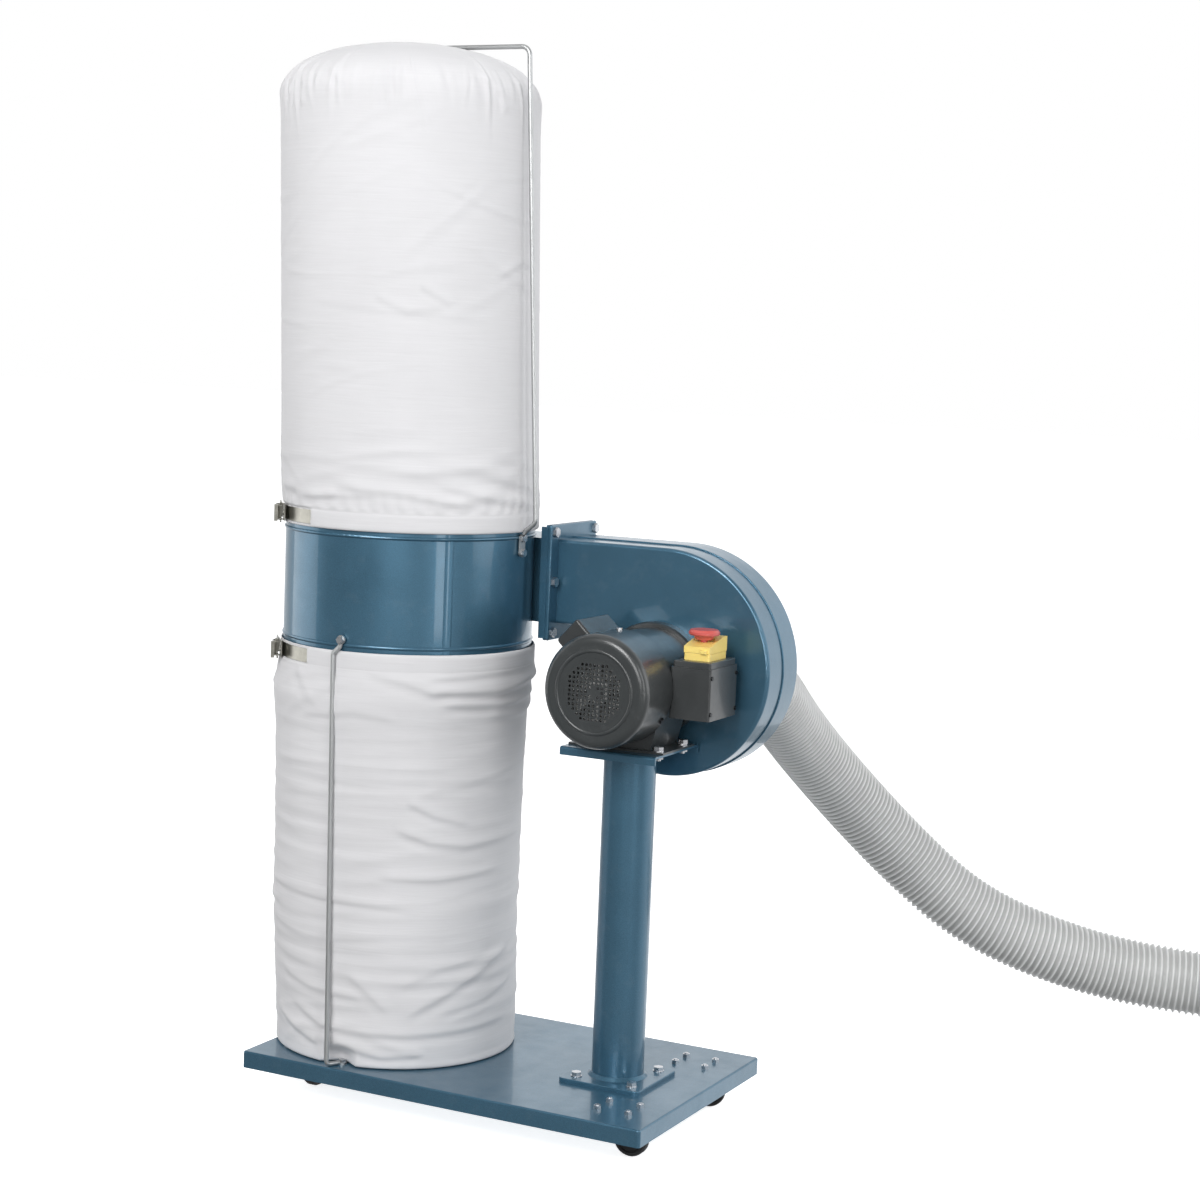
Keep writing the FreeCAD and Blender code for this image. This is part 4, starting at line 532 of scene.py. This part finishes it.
# Folds drawn from the photograph: ((degrees, millimetres up) points, rise in metres, width in mm)
UPPER_FOLDS = [
    ([(-140, 905), (-105, 893), (-70, 900)], 0.0016, 6),
    ([(-95, 912), (-60, 901), (-30, 884)], 0.0018, 6),
    ([(-50, 918), (-15, 893), (10, 884)], 0.0020, 7), ([(-120, 886), (-90, 897)], 0.0018, 5),
    ([(-30, 932), (5, 912), (30, 890)], 0.0018, 8),
    ([(-150, 940), (-110, 948), (-60, 936)], 0.0008, 7),
    ([(-75, 1180), (-60, 1160), (-42, 1168)], 0.0010, 6), ([(-55, 1196), (-40, 1168)], 0.0010, 5),
    ([(-20, 1210), (-2, 1235), (10, 1228)], 0.0012, 6),
    ([(-110, 1172), (-70, 1160), (-20, 1148)], 0.0006, 6),
    ([(-118, 1505), (-112, 1470), (-114, 1440)], 0.0024, 5),
    ([(-128, 1495), (-124, 1455)], 0.0020, 5), ([(-100, 1500), (-88, 1472)], 0.0014, 6),
    ([(-30, 1500), (-16, 1468), (-14, 1440)], 0.0018, 6), ([(-5, 1495), (6, 1462)], 0.0018, 6),
    ([(60, 905), (95, 890), (130, 900)], 0.0018, 7), ([(150, 930), (190, 900)], 0.0016, 7),
]
LOWER_FOLDS = [
    ([(-56, 462), (-42, 440), (-24, 424)], 0.0018, 6),
    ([(-62, 424), (-44, 402), (-27, 394), (28, 402)], 0.0024, 7),
    ([(-52, 640), (-20, 646), (30, 652)], 0.0026, 6),
    ([(-52, 622), (-12, 618), (40, 634)], 0.0040, 7),
    ([(-44, 604), (-10, 598), (36, 606)], 0.0032, 7),
    ([(-20, 584), (10, 578), (40, 590)], 0.0022, 7),
    ([(-78, 650), (-58, 634), (-40, 612)], 0.0016, 7),
    ([(-138, 500), (-90, 512), (-30, 506)], 0.0008, 6),
    ([(-145, 318), (-99, 312), (-50, 306)], 0.0014, 5),
    ([(-52, 474), (-20, 486), (20, 478)], 0.0012, 8),
    ([(-130, 217), (-79, 203), (-60, 146)], 0.0015, 8),
    ([(-58, 140), (-34, 178), (-16, 204), (14, 246)], 0.0019, 8),
    ([(-118, 152), (-94, 122), (-56, 117), (-22, 121), (12, 126)], 0.0020, 7),
    ([(-124, 190), (-100, 176), (-70, 170)], 0.0016, 6),
    ([(-90, 101), (-66, 84), (-44, 88)], 0.0022, 6),
    ([(-60, 186), (-38, 214), (-10, 232)], 0.0009, 7),
    ([(-40, 148), (-14, 160), (18, 190)], 0.0012, 7),
    ([(-140, 262), (-104, 250), (-60, 262)], 0.0010, 6),
    ([(-112, 574), (-80, 588), (-60, 580)], 0.0010, 6),
    ([(-132, 128), (-110, 104), (-96, 92)], 0.0022, 6),
    ([(-70, 352), (-40, 346), (0, 356)], 0.0012, 6),
    ([(60, 612), (95, 600), (135, 616)], 0.0026, 8),
    ([(80, 400), (120, 384), (160, 398)], 0.0022, 8),
    ([(40, 160), (80, 200), (130, 170)], 0.0028, 8),
    ([(140, 120), (175, 150), (205, 110)], 0.0026, 8),
    ([(150, 600), (185, 616), (215, 604)], 0.0022, 7),
    ([(165, 300), (200, 280), (235, 290)], 0.0018, 7),
]


UPPER_SPACING, LOWER_SPACING = 0.0148, 0.0118  # between rows of the simulated cloth
UPPER_PRESSURE, LOWER_PRESSURE = 3.0, 2.4
UPPER_CAP, LOWER_CAP = 0.009, 0.005  # furthest that the simulation may move a point
UPPER_PUFF, LOWER_PUFF = 0.0015, 0.0018
SPARE_HEIGHT, SPARE_ROUND = 1.012, 1.001  # cloth cut larger than the bag, so that it folds
GATHERS, GATHER_DEPTH, GATHER_REACH = 47, 0.0009, 0.02


def filter_bag():
    """Upper bag: blown full, with a domed and puckered crown, sewn to a banded hem."""
    rng = np.random.default_rng(SEED)
    shoulder, crown = 1.455, CROWN_Z
    low = BAND_UP_Z1 + 0.0035
    outline = [(0.1898, low), (0.1904, low + 0.012), (0.1910, low + 0.05), (0.1900, 1.05),
               (0.1898, 1.34)]
    for share in np.linspace(0, 1, 9)[:-1]:
        outline.append((0.1898 * (1 - share ** 2.6) ** 0.5, shoulder + (crown - shoulder) * share))
    outline += [(0.03, crown - 0.0004), (0.004, crown)]
    line = resample(outline, UPPER_SPACING)
    rows = np.stack([ring_points(r, z, SIDES) for r, z in line])
    rows[..., 0] += lean(rows[..., 2])
    r, z = line[:, 0][:, None, None], line[:, 1][:, None, None]
    fuller = 1 + 0.055 * smoothstep(1.42, 1.50, z) * (1 - smoothstep(0.0, 0.06, 0.06 - r))
    rest = rows.copy()
    rest[..., :2] = MIDDLE + (rest[..., :2] - MIDDLE) * fuller
    rest[..., 2] = low + (rest[..., 2] - low) * SPARE_HEIGHT
    held = [(0, 1.0), (1, 0.9), (len(rows) - 1, 1.0), (len(rows) - 2, 0.6)]
    rows = simulated("filter_bag_cloth", rows, rest, held, UPPER_PRESSURE, UPPER_CAP)
    rows = denser(denser(rows, REFINE, 1, True), REFINE, 0, False)
    sides = rows.shape[1]
    angle = np.broadcast_to(np.arange(sides) * 2 * pi / sides, rows.shape[:2])
    height = rows[..., 2]
    centres = np.stack([DRUM_X + lean(height), np.full_like(height, DRUM_Y)], -1)
    radius = np.linalg.norm(rows[..., :2] - centres, axis=-1)
    amount = creases(rng, angle, height, 60, z_range=(0.90, 1.44), length=(0.03, 0.11),
                     width=(0.004, 0.009), depth=(0.0002, 0.0008), slope=(0.1, 0.35))
    amount += creases(rng, angle, height, 30, z_range=(0.885, 0.96), length=(0.04, 0.12),
                      width=(0.006, 0.011), depth=(0.0003, 0.0009), slope=(0.10, 0.20))
    amount += pleats(rng, angle, height, 52, z0=1.470, spread=0.036, depth=0.0030)
    amount += folds(angle, height, UPPER_FOLDS)
    amount *= smoothstep(0.02, 0.09, radius) * (0.35 + 0.65 * smoothstep(low, low + 0.02, height))
    puff = np.clip(amount[0], 0, UPPER_PUFF)
    rows = radial_move(rows, centres, amount)
    ripple = np.sin(angle * GATHERS + 3 * np.sin(angle * 5))
    gather = GATHER_DEPTH * ripple * np.exp(-((height - low) / GATHER_REACH) ** 2)
    rows = radial_move(rows, centres, gather * smoothstep(0, 0.004, height - low))
    rows = press_trough(rows)
    fine = np.arange(sides) * 2 * pi / sides
    z0, z1 = BAND_UP_Z0, BAND_UP_Z1
    hem = [(0.1868, z0 + 0.006), (0.1870, z0 - 0.002), (0.1880, z0 - 0.0042), (0.1893, z0 - 0.0034),
           (0.1899, z0 - 0.001), (0.1900, z0 + 0.004), (0.1899, z0 + 0.010), (0.1900, z1 - 0.004),
           (0.1899, z1), (0.1896, z1 + 0.0010), (0.1895, z1 + 0.0024)]
    rows = np.concatenate([np.stack(hem_rows(hem, fine, puff)), rows])
    return lattice("filter_bag", rows)


ROD_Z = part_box("hanger_rod")[1].z - 0.0045
TROUGH_R, TROUGH_SOFT = 0.0082, 0.016
TROUGH_RISE, TROUGH_END, TROUGH_FLARE = 0.022, 0.06, 0.05
CROWN_ONLY_Z = 1.40


def press_trough(rows):
    """Sinks the crown under the hanger rod, in a soft trough from the middle to the side."""
    aside = np.abs(rows[..., 1] - DRUM_Y)
    along = smoothstep(DRUM_X - 0.050, DRUM_X - 0.034, rows[..., 0])
    rise = np.clip(aside / TROUGH_SOFT, 0, 1) ** 2
    flare = TROUGH_FLARE * smoothstep(0.8, 1.6, aside / TROUGH_SOFT)
    roof = ROD_Z - TROUGH_R + TROUGH_RISE * rise + TROUGH_END * (1 - along) + flare
    top = rows[..., 2] > CROWN_ONLY_Z
    rows[..., 2] = np.where(top, np.minimum(rows[..., 2], roof), rows[..., 2])
    return rows


PLEAT_HOLLOW, PLEAT_APART = 0.6, 1.9  # the hollow beside each pucker


def pleats(rng, angle, height, count, z0, spread, depth):
    """Radial puckers of uneven width and reach where the crown meets the tube."""
    total = np.zeros_like(angle)
    for k in range(count):
        a0 = 2 * pi * (k + rng.uniform(-0.42, 0.42)) / count
        wide, reach = rng.uniform(0.012, 0.034), spread * rng.uniform(0.6, 1.5)
        rise, skew = depth * rng.uniform(0.25, 1.0), rng.normal(0, 0.6)
        apart = (angle - a0 - skew * (height - z0) + pi) % (2 * pi) - pi
        fade = np.exp(-(np.abs(height - z0 - 0.012) / reach) ** 2.2)
        beside = PLEAT_HOLLOW * np.exp(-((apart - PLEAT_APART * wide) / wide) ** 2)
        total += rise * fade * (np.exp(-(apart / wide) ** 2) - beside)
    return total


SWAY, CAMERA_SIDE = 0.0058, (0.89, 0.45)  # as photographed, the bag sits this far to the left
FOOT_IN, FOOT_APART, FOOT_CLEAR = 0.0105, 0.170, 0.030
FOOT_Z0, FOOT_Z1 = TRAY_TOP + 0.010, TRAY_TOP + 0.034
ROD_FEET = [(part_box("stay_rods")[1].x - FOOT_IN, DRUM_Y + side * FOOT_APART) for side in (-1, 1)]


def clear_of_feet(rows):
    """Tucks the bag's foot in round the two stays' feet."""
    for x, y in ROD_FEET:
        apart = rows[..., :2] - np.array([x, y])
        gap = np.maximum(np.linalg.norm(apart, axis=-1), 1e-6)
        inward = np.array([DRUM_X - x, DRUM_Y - y])
        inward /= np.linalg.norm(inward)
        low = 1 - smoothstep(FOOT_Z0, FOOT_Z1, rows[..., 2])
        push = np.clip(FOOT_CLEAR - gap, 0, None) * low
        rows[..., :2] += inward * push[..., None]
    return rows


def spread_round(rows, shifts):
    """Evens out a bag's radius and height round it, so that its folds lie across."""
    away = rows[..., :2] - MIDDLE
    angle = np.arctan2(away[..., 1], away[..., 0])
    polar = np.stack([np.linalg.norm(away, axis=-1), rows[..., 2]], -1)
    for shift in shifts:
        polar = (2 * polar + np.roll(polar, shift, 1) + np.roll(polar, -shift, 1)) / 4
    radius, height = polar[..., 0], polar[..., 1]
    return np.stack([DRUM_X + radius * np.cos(angle), DRUM_Y + radius * np.sin(angle), height], -1)


def collecting_bag():
    """Lower bag: it hangs from its band and stands on the tray, creased across."""
    rng = np.random.default_rng(SEED + 1)
    top = BAND_LOW_Z0 - 0.0025
    outline = [(0.1900, top), (0.1911, top - 0.012), (0.1920, 0.58), (0.1905, 0.45), (0.1895, 0.33),
               (0.188, 0.22), (0.186, 0.12), (0.1845, 0.085), (0.1825, TRAY_TOP + 0.005),
               (0.178, TRAY_TOP + 0.0014), (0.168, TRAY_TOP + 0.0008), (0.156, TRAY_TOP + 0.0006)]
    line = resample(outline, LOWER_SPACING)
    rows = np.stack([ring_points(r, z, SIDES) for r, z in line])
    rest = rows.copy()
    rest[..., 2] = top + (rest[..., 2] - top) * SPARE_HEIGHT
    rest[..., :2] = MIDDLE + (rest[..., :2] - MIDDLE) * SPARE_ROUND
    count = len(rows)
    held = [(k, 1.0 - 0.12 * k) for k in range(8)] + [(count - k, 1.0) for k in (1, 2, 3)]
    wobble = 0.0004 * rng.standard_normal(rows.shape[:2])
    for shift in (1, 2, 4, 7):
        wobble = (wobble + np.roll(wobble, shift, 1) + np.roll(wobble, -shift, 1)) / 1.9
    wobble[0] = wobble[-3:] = 0
    start = radial_move(rows.copy(), MIDDLE, wobble)
    rows = simulated("collecting_bag_cloth", start, rest, held, LOWER_PRESSURE, LOWER_CAP)
    rows = spread_round(rows, (1, 2, 3))
    rows = denser(denser(rows, REFINE, 1, True), REFINE, 0, False)
    sides = rows.shape[1]
    angle = np.broadcast_to(np.arange(sides) * 2 * pi / sides, rows.shape[:2])
    height = rows[..., 2]
    amount = creases(rng, angle, height, 90, z_range=(0.10, 0.63), length=(0.04, 0.15),
                     width=(0.004, 0.009), depth=(0.0001, 0.0006), slope=(0.04, 0.10))
    amount += creases(rng, angle, height, 22, z_range=(0.60, 0.645), length=(0.03, 0.08),
                      width=(0.005, 0.009), depth=(0.0003, 0.0011), slope=(0.1, 0.25))
    amount += creases(rng, angle, height, 22, z_range=(0.08, 0.15), length=(0.03, 0.09),
                      width=(0.005, 0.009), depth=(0.0003, 0.0011), slope=(0.1, 0.25))
    amount += folds(angle, height, LOWER_FOLDS)
    amount *= smoothstep(TRAY_TOP, TRAY_TOP + 0.02, height)
    amount *= 0.5 + 0.5 * smoothstep(0.0, 0.015, top - height)
    puff = np.clip(amount[0], 0, LOWER_PUFF)
    rows = radial_move(rows, MIDDLE, amount)
    below_band = smoothstep(0.0, 0.05, top - height)
    sway = SWAY * below_band * smoothstep(TRAY_TOP, TRAY_TOP + 0.22, height)
    rows[..., 0] -= CAMERA_SIDE[0] * sway
    rows[..., 1] -= CAMERA_SIDE[1] * sway
    rows[..., 2] = np.maximum(rows[..., 2], TRAY_TOP + 0.0003)
    rows = clear_of_feet(rows)
    fine = np.arange(sides) * 2 * pi / sides
    z0, z1 = BAND_LOW_Z0, BAND_LOW_Z1
    hem = [(0.1868, z1 - 0.006), (0.1870, z1 + 0.002), (0.1880, z1 + 0.0040), (0.1893, z1 + 0.0034),
           (0.1899, z1 + 0.001), (0.1900, z1 - 0.004), (0.1899, z1 - 0.010), (0.1900, z0 + 0.004),
           (0.1899, z0), (0.1898, z0 - 0.0008), (0.1899, z0 - 0.0016)]
    rows = np.concatenate([np.stack(hem_rows(hem, fine, puff)), rows])
    floor_r = [0.12, 0.08, 0.04, 0.005]
    bottom = [ring_points(r, TRAY_TOP + 0.0006, sides) for r in floor_r]
    rows = np.concatenate([rows, np.stack(bottom)])
    return lattice("collecting_bag", rows[::-1])


upper = filter_bag()
lower = collecting_bag()
for bag, node in ((upper, "upper_bag"), (lower, "lower_bag")):
    material_of(bag, "bag_cloth")
    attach(bag, BODY)
    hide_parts(node)


# ---- flexible duct ------------------------------------------------------------------
DUCT_ROUTE = [
    (0.20475, 0.17225, 0.644), (0.20475, 0.30725, 0.644), (0.19575, 0.47625, 0.596),
    (0.19575, 0.62025, 0.495), (0.24775, 0.74025, 0.378), (0.33175, 0.81925, 0.266),
    (0.42575, 0.86125, 0.180),
    (0.52875, 0.91425, 0.124), (0.65675, 0.98825, 0.079), (0.80975, 1.04725, 0.060),
    (0.98875, 1.07525, 0.057), (1.17675, 1.07225, 0.057),
]
RIDGE_R, VALLEY_R = 0.0560, 0.0508
PITCH_NEAR, PITCH_FAR = 0.0085, 0.0122
CLAMP_END, CLAMP_SOFT = 0.040, 0.006
CLAMPED_R, CLAMPED_RIDGE = 0.0548, 0.0006  # the ridges are pressed to this under the clamp
FLAT_R, FLAT_SPARE = 0.0555, 0.0005  # and the valleys rise there by no more than FLAT_SPARE
SAG, WALL = 0.0009, 0.002


def duct_path():
    """Closely spaced points on the route's smooth curve."""
    curve = bpy.data.curves.new("duct_line", "CURVE")
    curve.dimensions = "3D"
    curve.resolution_u = 48
    spline = curve.splines.new("NURBS")
    spline.points.add(len(DUCT_ROUTE) - 1)
    for point, place in zip(spline.points, DUCT_ROUTE):
        point.co = (*place, 1.0)
    spline.order_u = 3
    spline.use_endpoint_u = True
    holder = bpy.data.objects.new("duct_line", curve)
    bpy.context.scene.collection.objects.link(holder)
    bpy.context.view_layer.update()
    made = bpy.data.meshes.new_from_object(holder)
    path = np.array([tuple(v.co) for v in made.vertices])
    bpy.data.objects.remove(holder)
    bpy.data.meshes.remove(made)
    bpy.data.curves.remove(curve)
    return path


def carried_frames(path):
    """Unit tangent, side and up at each point, carried along the path without twist."""
    tangent = np.gradient(path, axis=0)
    tangent /= np.linalg.norm(tangent, axis=1, keepdims=True)
    side = np.cross(tangent[0], (0, 0, 1.0))
    sides = []
    for t in tangent:
        side = side - t * (side @ t)
        side = side / np.linalg.norm(side)
        sides.append(side)
    sides = np.array(sides)
    return tangent, sides, np.cross(sides, tangent)


def duct():
    """Thin-walled duct stiffened by a helix: narrow rounded ridges and smooth valleys."""
    path = duct_path()
    run = np.r_[0, np.cumsum(np.linalg.norm(np.diff(path, axis=0), axis=1))]
    turn_rate = np.linspace(1 / PITCH_NEAR, 1 / PITCH_FAR, 200)
    at = np.linspace(0, run[-1], 200)
    turns = np.r_[0, np.cumsum((turn_rate[1:] + turn_rate[:-1]) / 2 * np.diff(at))]
    per_turn, sides = 8, 44
    stations = np.interp(np.linspace(0, turns[-1], int(turns[-1] * per_turn)), turns, at)
    centre = np.stack([np.interp(stations, run, path[:, k]) for k in range(3)], 1)
    _, side, up = carried_frames(centre)
    angle = np.arange(sides) * 2 * pi / sides
    phase = np.interp(stations, at, turns)[:, None] * 2 * pi + angle[None, :]
    ridge = np.clip(np.cos(phase), 0, 1) ** 2
    sag = SAG * (0.5 + 0.5 * np.cos(phase * 2 + pi)) * (1 - ridge)
    radius = VALLEY_R + (RIDGE_R - VALLEY_R) * ridge + sag
    flat = np.minimum(radius, FLAT_R)
    clamped = (1 - smoothstep(CLAMP_END - CLAMP_SOFT, CLAMP_END, stations))[:, None]
    radius = radius * (1 - clamped) + (CLAMPED_R + CLAMPED_RIDGE * ridge) * clamped
    radius = np.minimum(radius, flat + FLAT_SPARE)
    turned = np.cos(angle)[None, :, None] * side[:, None, :]
    turned = turned + np.sin(angle)[None, :, None] * up[:, None, :]
    rows = centre[:, None, :] + radius[..., None] * turned
    inner = [centre[k] + (VALLEY_R - WALL) * turned[k]
             for k in (len(centre) - 1, len(centre) - 1 - 3 * per_turn)]
    piece = lattice("flexible_duct", np.concatenate([rows, np.array(inner)]))
    rib = piece.data.attributes.new("rib", "FLOAT", "POINT")
    rib.data.foreach_set("value", np.r_[ridge.ravel(), np.zeros(2 * sides)].astype(np.float32))
    return piece, path


hose, hose_path = duct()
material_of(hose, "hose_plastic")
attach(hose, BODY)
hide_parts("flexible_hose")


# ---- drum seam ----------------------------------------------------------------------
DRUM_SEAM_ANGLE = radians(-41.5)
DRUM_SEAM_WIDTH = radians(4.3)


def drum_seam():
    """Lapped edge of the drum's rolled sheet: flush on one side, proud on the other."""
    z0, z1 = DRUM_LOW.z + 0.004, DRUM_HIGH.z - 0.004
    across = [(1.0, -0.0004), (0.90, 0.0003), (0.45, 0.0004), (0.15, 0.0005), (0.04, 0.0005),
              (0.0, 0.0003), (0.0, -0.0004)]
    rows = []
    for z in np.linspace(z0, z1, 24):
        row = []
        for share, lift in across:
            a, radius = DRUM_SEAM_ANGLE - DRUM_SEAM_WIDTH * (share - 0.5), DRUM_R + lift
            row.append((DRUM_X + radius * cos(a), DRUM_Y + radius * sin(a), z))
        rows.append(row)
    return lattice("drum_seam", rows, closed=False)


seam = drum_seam()
material_of(seam, "blue_paint")
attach(seam, BODY)


# ---- studio -------------------------------------------------------------------------
def studio_world(lobes, seen):
    """Soft light from broad lobes, one for each (direction, strength), and a plain backdrop."""
    world = bpy.data.worlds.new("studio")
    world.use_nodes = True
    tree = world.node_tree
    tree.nodes.clear()
    out = tree.nodes.new("ShaderNodeOutputWorld")
    where = tree.nodes.new("ShaderNodeTexCoord")
    total = None
    for direction, strength in lobes:
        facing = tree.nodes.new("ShaderNodeVectorMath")
        facing.operation = "DOT_PRODUCT"
        facing.inputs[1].default_value = direction
        tree.links.new(where.outputs["Generated"], facing.inputs[0])
        lit = tree.nodes.new("ShaderNodeMath")
        lit.operation = "MULTIPLY"
        lit.inputs[1].default_value = strength
        clip = tree.nodes.new("ShaderNodeMath")
        clip.operation = "MAXIMUM"
        clip.inputs[1].default_value = 0.0
        tree.links.new(facing.outputs["Value"], clip.inputs[0])
        tree.links.new(clip.outputs[0], lit.inputs[0])
        if total is None:
            total = lit.outputs[0]
        else:
            both = tree.nodes.new("ShaderNodeMath")
            tree.links.new(total, both.inputs[0])
            tree.links.new(lit.outputs[0], both.inputs[1])
            total = both.outputs[0]
    soft, plain = (tree.nodes.new("ShaderNodeBackground") for _ in range(2))
    tree.links.new(total, soft.inputs["Strength"])
    soft.inputs["Color"].default_value = (0.97, 0.985, 1.0, 1)
    plain.inputs["Strength"].default_value = seen
    plain.inputs["Color"].default_value = (1, 1, 1, 1)
    seen_by = tree.nodes.new("ShaderNodeLightPath")
    mix = tree.nodes.new("ShaderNodeMixShader")
    tree.links.new(seen_by.outputs["Is Camera Ray"], mix.inputs[0])
    tree.links.new(soft.outputs[0], mix.inputs[1])
    tree.links.new(plain.outputs[0], mix.inputs[2])
    tree.links.new(mix.outputs[0], out.inputs["Surface"])
    bpy.context.scene.world = world


def softbox(name, place, target, size, power):
    lamp = bpy.data.lights.new(name, "AREA")
    lamp.shape = "RECTANGLE"
    lamp.size, lamp.size_y = size
    lamp.energy = power
    holder = bpy.data.objects.new(name, lamp)
    holder.location = place
    aim = (Vector(target) - Vector(place)).to_track_quat("-Z", "Y")
    holder.rotation_euler = aim.to_euler()
    holder.visible_camera = False
    bpy.context.scene.collection.objects.link(holder)


view = bpy.context.scene.view_settings
view.view_transform, view.look, view.exposure, view.gamma = "Standard", "None", 0.0, 1.0
studio_world((((1, 0, 0), 0.40), ((-1, 0, 0), 0.069), ((0, 1, 0), 1.26), ((0, -1, 0), 0.296),
              ((0, 0, -1), 0.08)), 1.0)
# Name, place, target, width and height in metres, power in watts
for lamp in (("key", (0.1, -3.5, 3.1), (-0.1, 0, 0.9), (1.7, 1.7), 111),
             ("strip", (2.9, -1.9, 1.5), (0.0, 0, 0.8), (0.55, 2.6), 20),
             ("right", (3.4, 0.9, 1.6), (0.0, 0, 0.8), (2.2, 2.4), 26),
             ("card", (-3.2, -0.55, 1.2), (-0.1, 0, 0.9), (2.3, 2.8), 34),
             ("top", (-0.2, -0.3, 3.6), (0, 0, 0.6), (2.4, 2.4), 11),
             ("front", (1.2, -4.2, 1.7), (0, 0, 0.8), (1.6, 1.6), 40)):
    softbox(*lamp)

FLOOR_HALF = 30.0
edges = (-FLOOR_HALF, FLOOR_HALF)
floor = lattice("studio_floor", [[(x, y, 0.0) for x in edges] for y in edges], False)
pale = Shader("studio_floor", Roughness=0.9)
speck = pale.ramp(pale.noise(3, 3), (0.3, (0.90, 0.90, 0.90)), (0.7, (0.92, 0.92, 0.92)))
pale.surface.inputs["Emission Strength"].default_value = 0.8
pale.surface.inputs["Emission Color"].default_value = (1, 1, 1, 1)
floor.data.materials.append(pale.finish(Base_Color=speck))
floor.visible_glossy = floor.visible_diffuse = floor.visible_shadow = False

CAMERA_PLACE = (1.70900, -3.10427, 1.13635)
CAMERA_RIGHT, CAMERA_UP, CAMERA_BACK = (
    (0.8900, 0.4543, 0.0390), (-0.0839, 0.0790, 0.9933), (0.4482, -0.8873, 0.1085))
lens = bpy.data.cameras.new("camera")
lens.lens, lens.sensor_width = 73.018, 36.0
lens.clip_end = 200
camera = bpy.data.objects.new("camera", lens)
turn = Matrix((CAMERA_RIGHT, CAMERA_UP, CAMERA_BACK)).transposed()
camera.rotation_euler = turn.to_euler()
camera.location = CAMERA_PLACE
bpy.context.scene.collection.objects.link(camera)
bpy.context.scene.camera = camera
